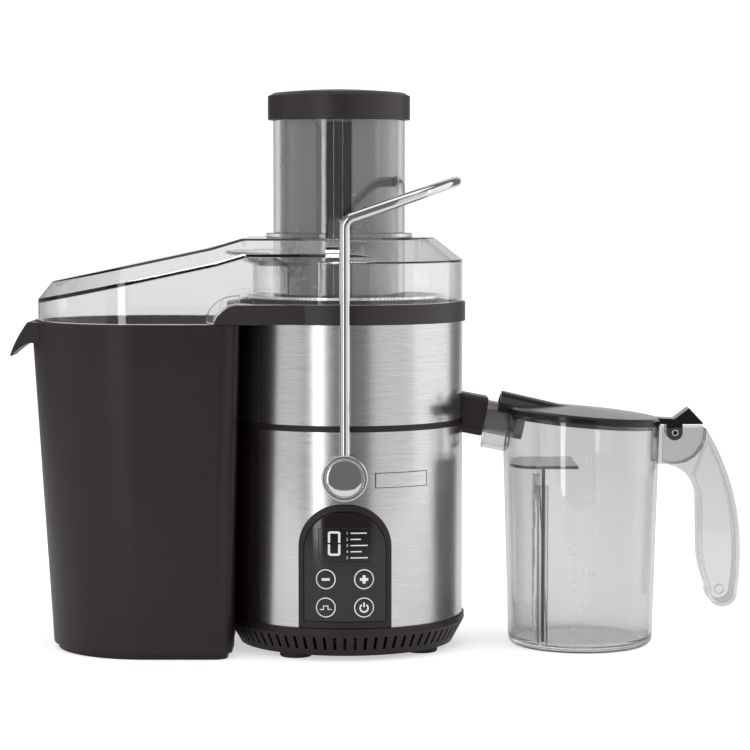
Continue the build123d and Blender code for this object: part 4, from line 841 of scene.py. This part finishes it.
def add_pin_rings():
    """A bright washer at each end of the jug's lid pin."""
    pin_low, pin_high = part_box("lid_pin")
    middle_x, middle_z = (pin_low.x + pin_high.x) / 2, (pin_low.z + pin_high.z) / 2
    inner, outer, thick, chamfer = 1.5 * mm, 2.3 * mm, 0.35 * mm, 0.15 * mm
    shoulder = 0.7 * thick
    outline = [(inner, 0.0), (outer, 0.0), (outer, shoulder), (outer - chamfer, thick),
               (inner + chamfer, thick), (inner, shoulder)]
    rings = bmesh.new()
    for side, end_y in ((-1, pin_low.y), (1, pin_high.y)):
        ring = spin_profile(outline, 0.0, 360.0, 32)
        face_outwards(ring, side, (middle_x, end_y, middle_z))
        merge_in(rings, ring)
    finish_piece("lid_pin_washers", rings, finishes["bright_bar"], "jug",
                 smooth=True)


def add_cover_wall():
    """The clear wall inside the cover, between the basket and the pulp channel."""
    wall_radius, wall, skirt_low, skirt_high = 63.4 * mm, 1.6 * mm, 247.0 * mm, 266.0 * mm
    flare_radius, flare_z = 83.5 * mm, 272.2 * mm
    outer_drop, inner_rise = 0.5 * mm, 0.6 * mm
    start, sweep, steps = 127.0, 106.0, 48
    outline = [(wall_radius, skirt_low), (wall_radius + wall, skirt_low),
               (wall_radius + wall, skirt_high - outer_drop), (flare_radius, flare_z),
               (flare_radius, flare_z + wall), (wall_radius, skirt_high + inner_rise)]
    shield = spin_profile(outline, start, sweep, steps)
    bmesh.ops.translate(shield, vec=(motor_x, 0, 0), verts=shield.verts)
    finish_piece("cover_inner_wall", shield, finishes["clear_plastic"], "base")


def add_apron_flanges():
    """The clear flange that follows the round end of the bowl's apron, on both sides."""
    cover_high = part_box("juice_cover")[1]
    bowl_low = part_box("juice_bowl")[0]
    end_x, foot_z, top_z = bowl_low.x - 0.7 * mm, 227.6 * mm, 240.9 * mm
    reach, band, depth, inset = 17.5 * mm, 5.0 * mm, 5.0 * mm, 3.0 * mm
    foot_lift, fullness, steps = 1.0 * mm, 0.9, 14
    rise = top_z - foot_z
    inner, outer = [], []
    for step in range(steps + 1):
        turn = math.pi / 2 * step / steps
        across, up = math.cos(turn), math.sin(turn)
        inner.append((end_x + reach * (1.0 - across), foot_z + rise * up))
        outer.append((end_x + reach - (reach + band) * across ** fullness,
                      foot_z + foot_lift + (rise + band) * up))
    flanges = bmesh.new()
    for side in (-1, 1):
        start_y = side * (cover_high.y - inset)
        corners = [(x, start_y, z) for x, z in inner + outer[::-1]]
        merge_in(flanges, push_out(corners, (0, -side * depth, 0)))
    finish_piece("cover_apron_flanges", flanges, finishes["clear_plastic"], "base")


add_camera()
add_world()
add_backdrop()
add_lights()
add_display_figures()
add_button_rings()
add_button_mark("button_minus", "minus_button", draw_minus)
add_button_mark("button_plus", "plus_button", draw_plus)
add_button_mark("button_pulse", "pulse_button", draw_pulse)
add_button_mark("button_power", "power_button", draw_power)
add_jug_marks()
add_badge_frame()
add_hub_domes()
add_key_strip()
add_pin_rings()
add_cover_wall()
add_apron_flanges()

scene.view_settings.view_transform = "Standard"
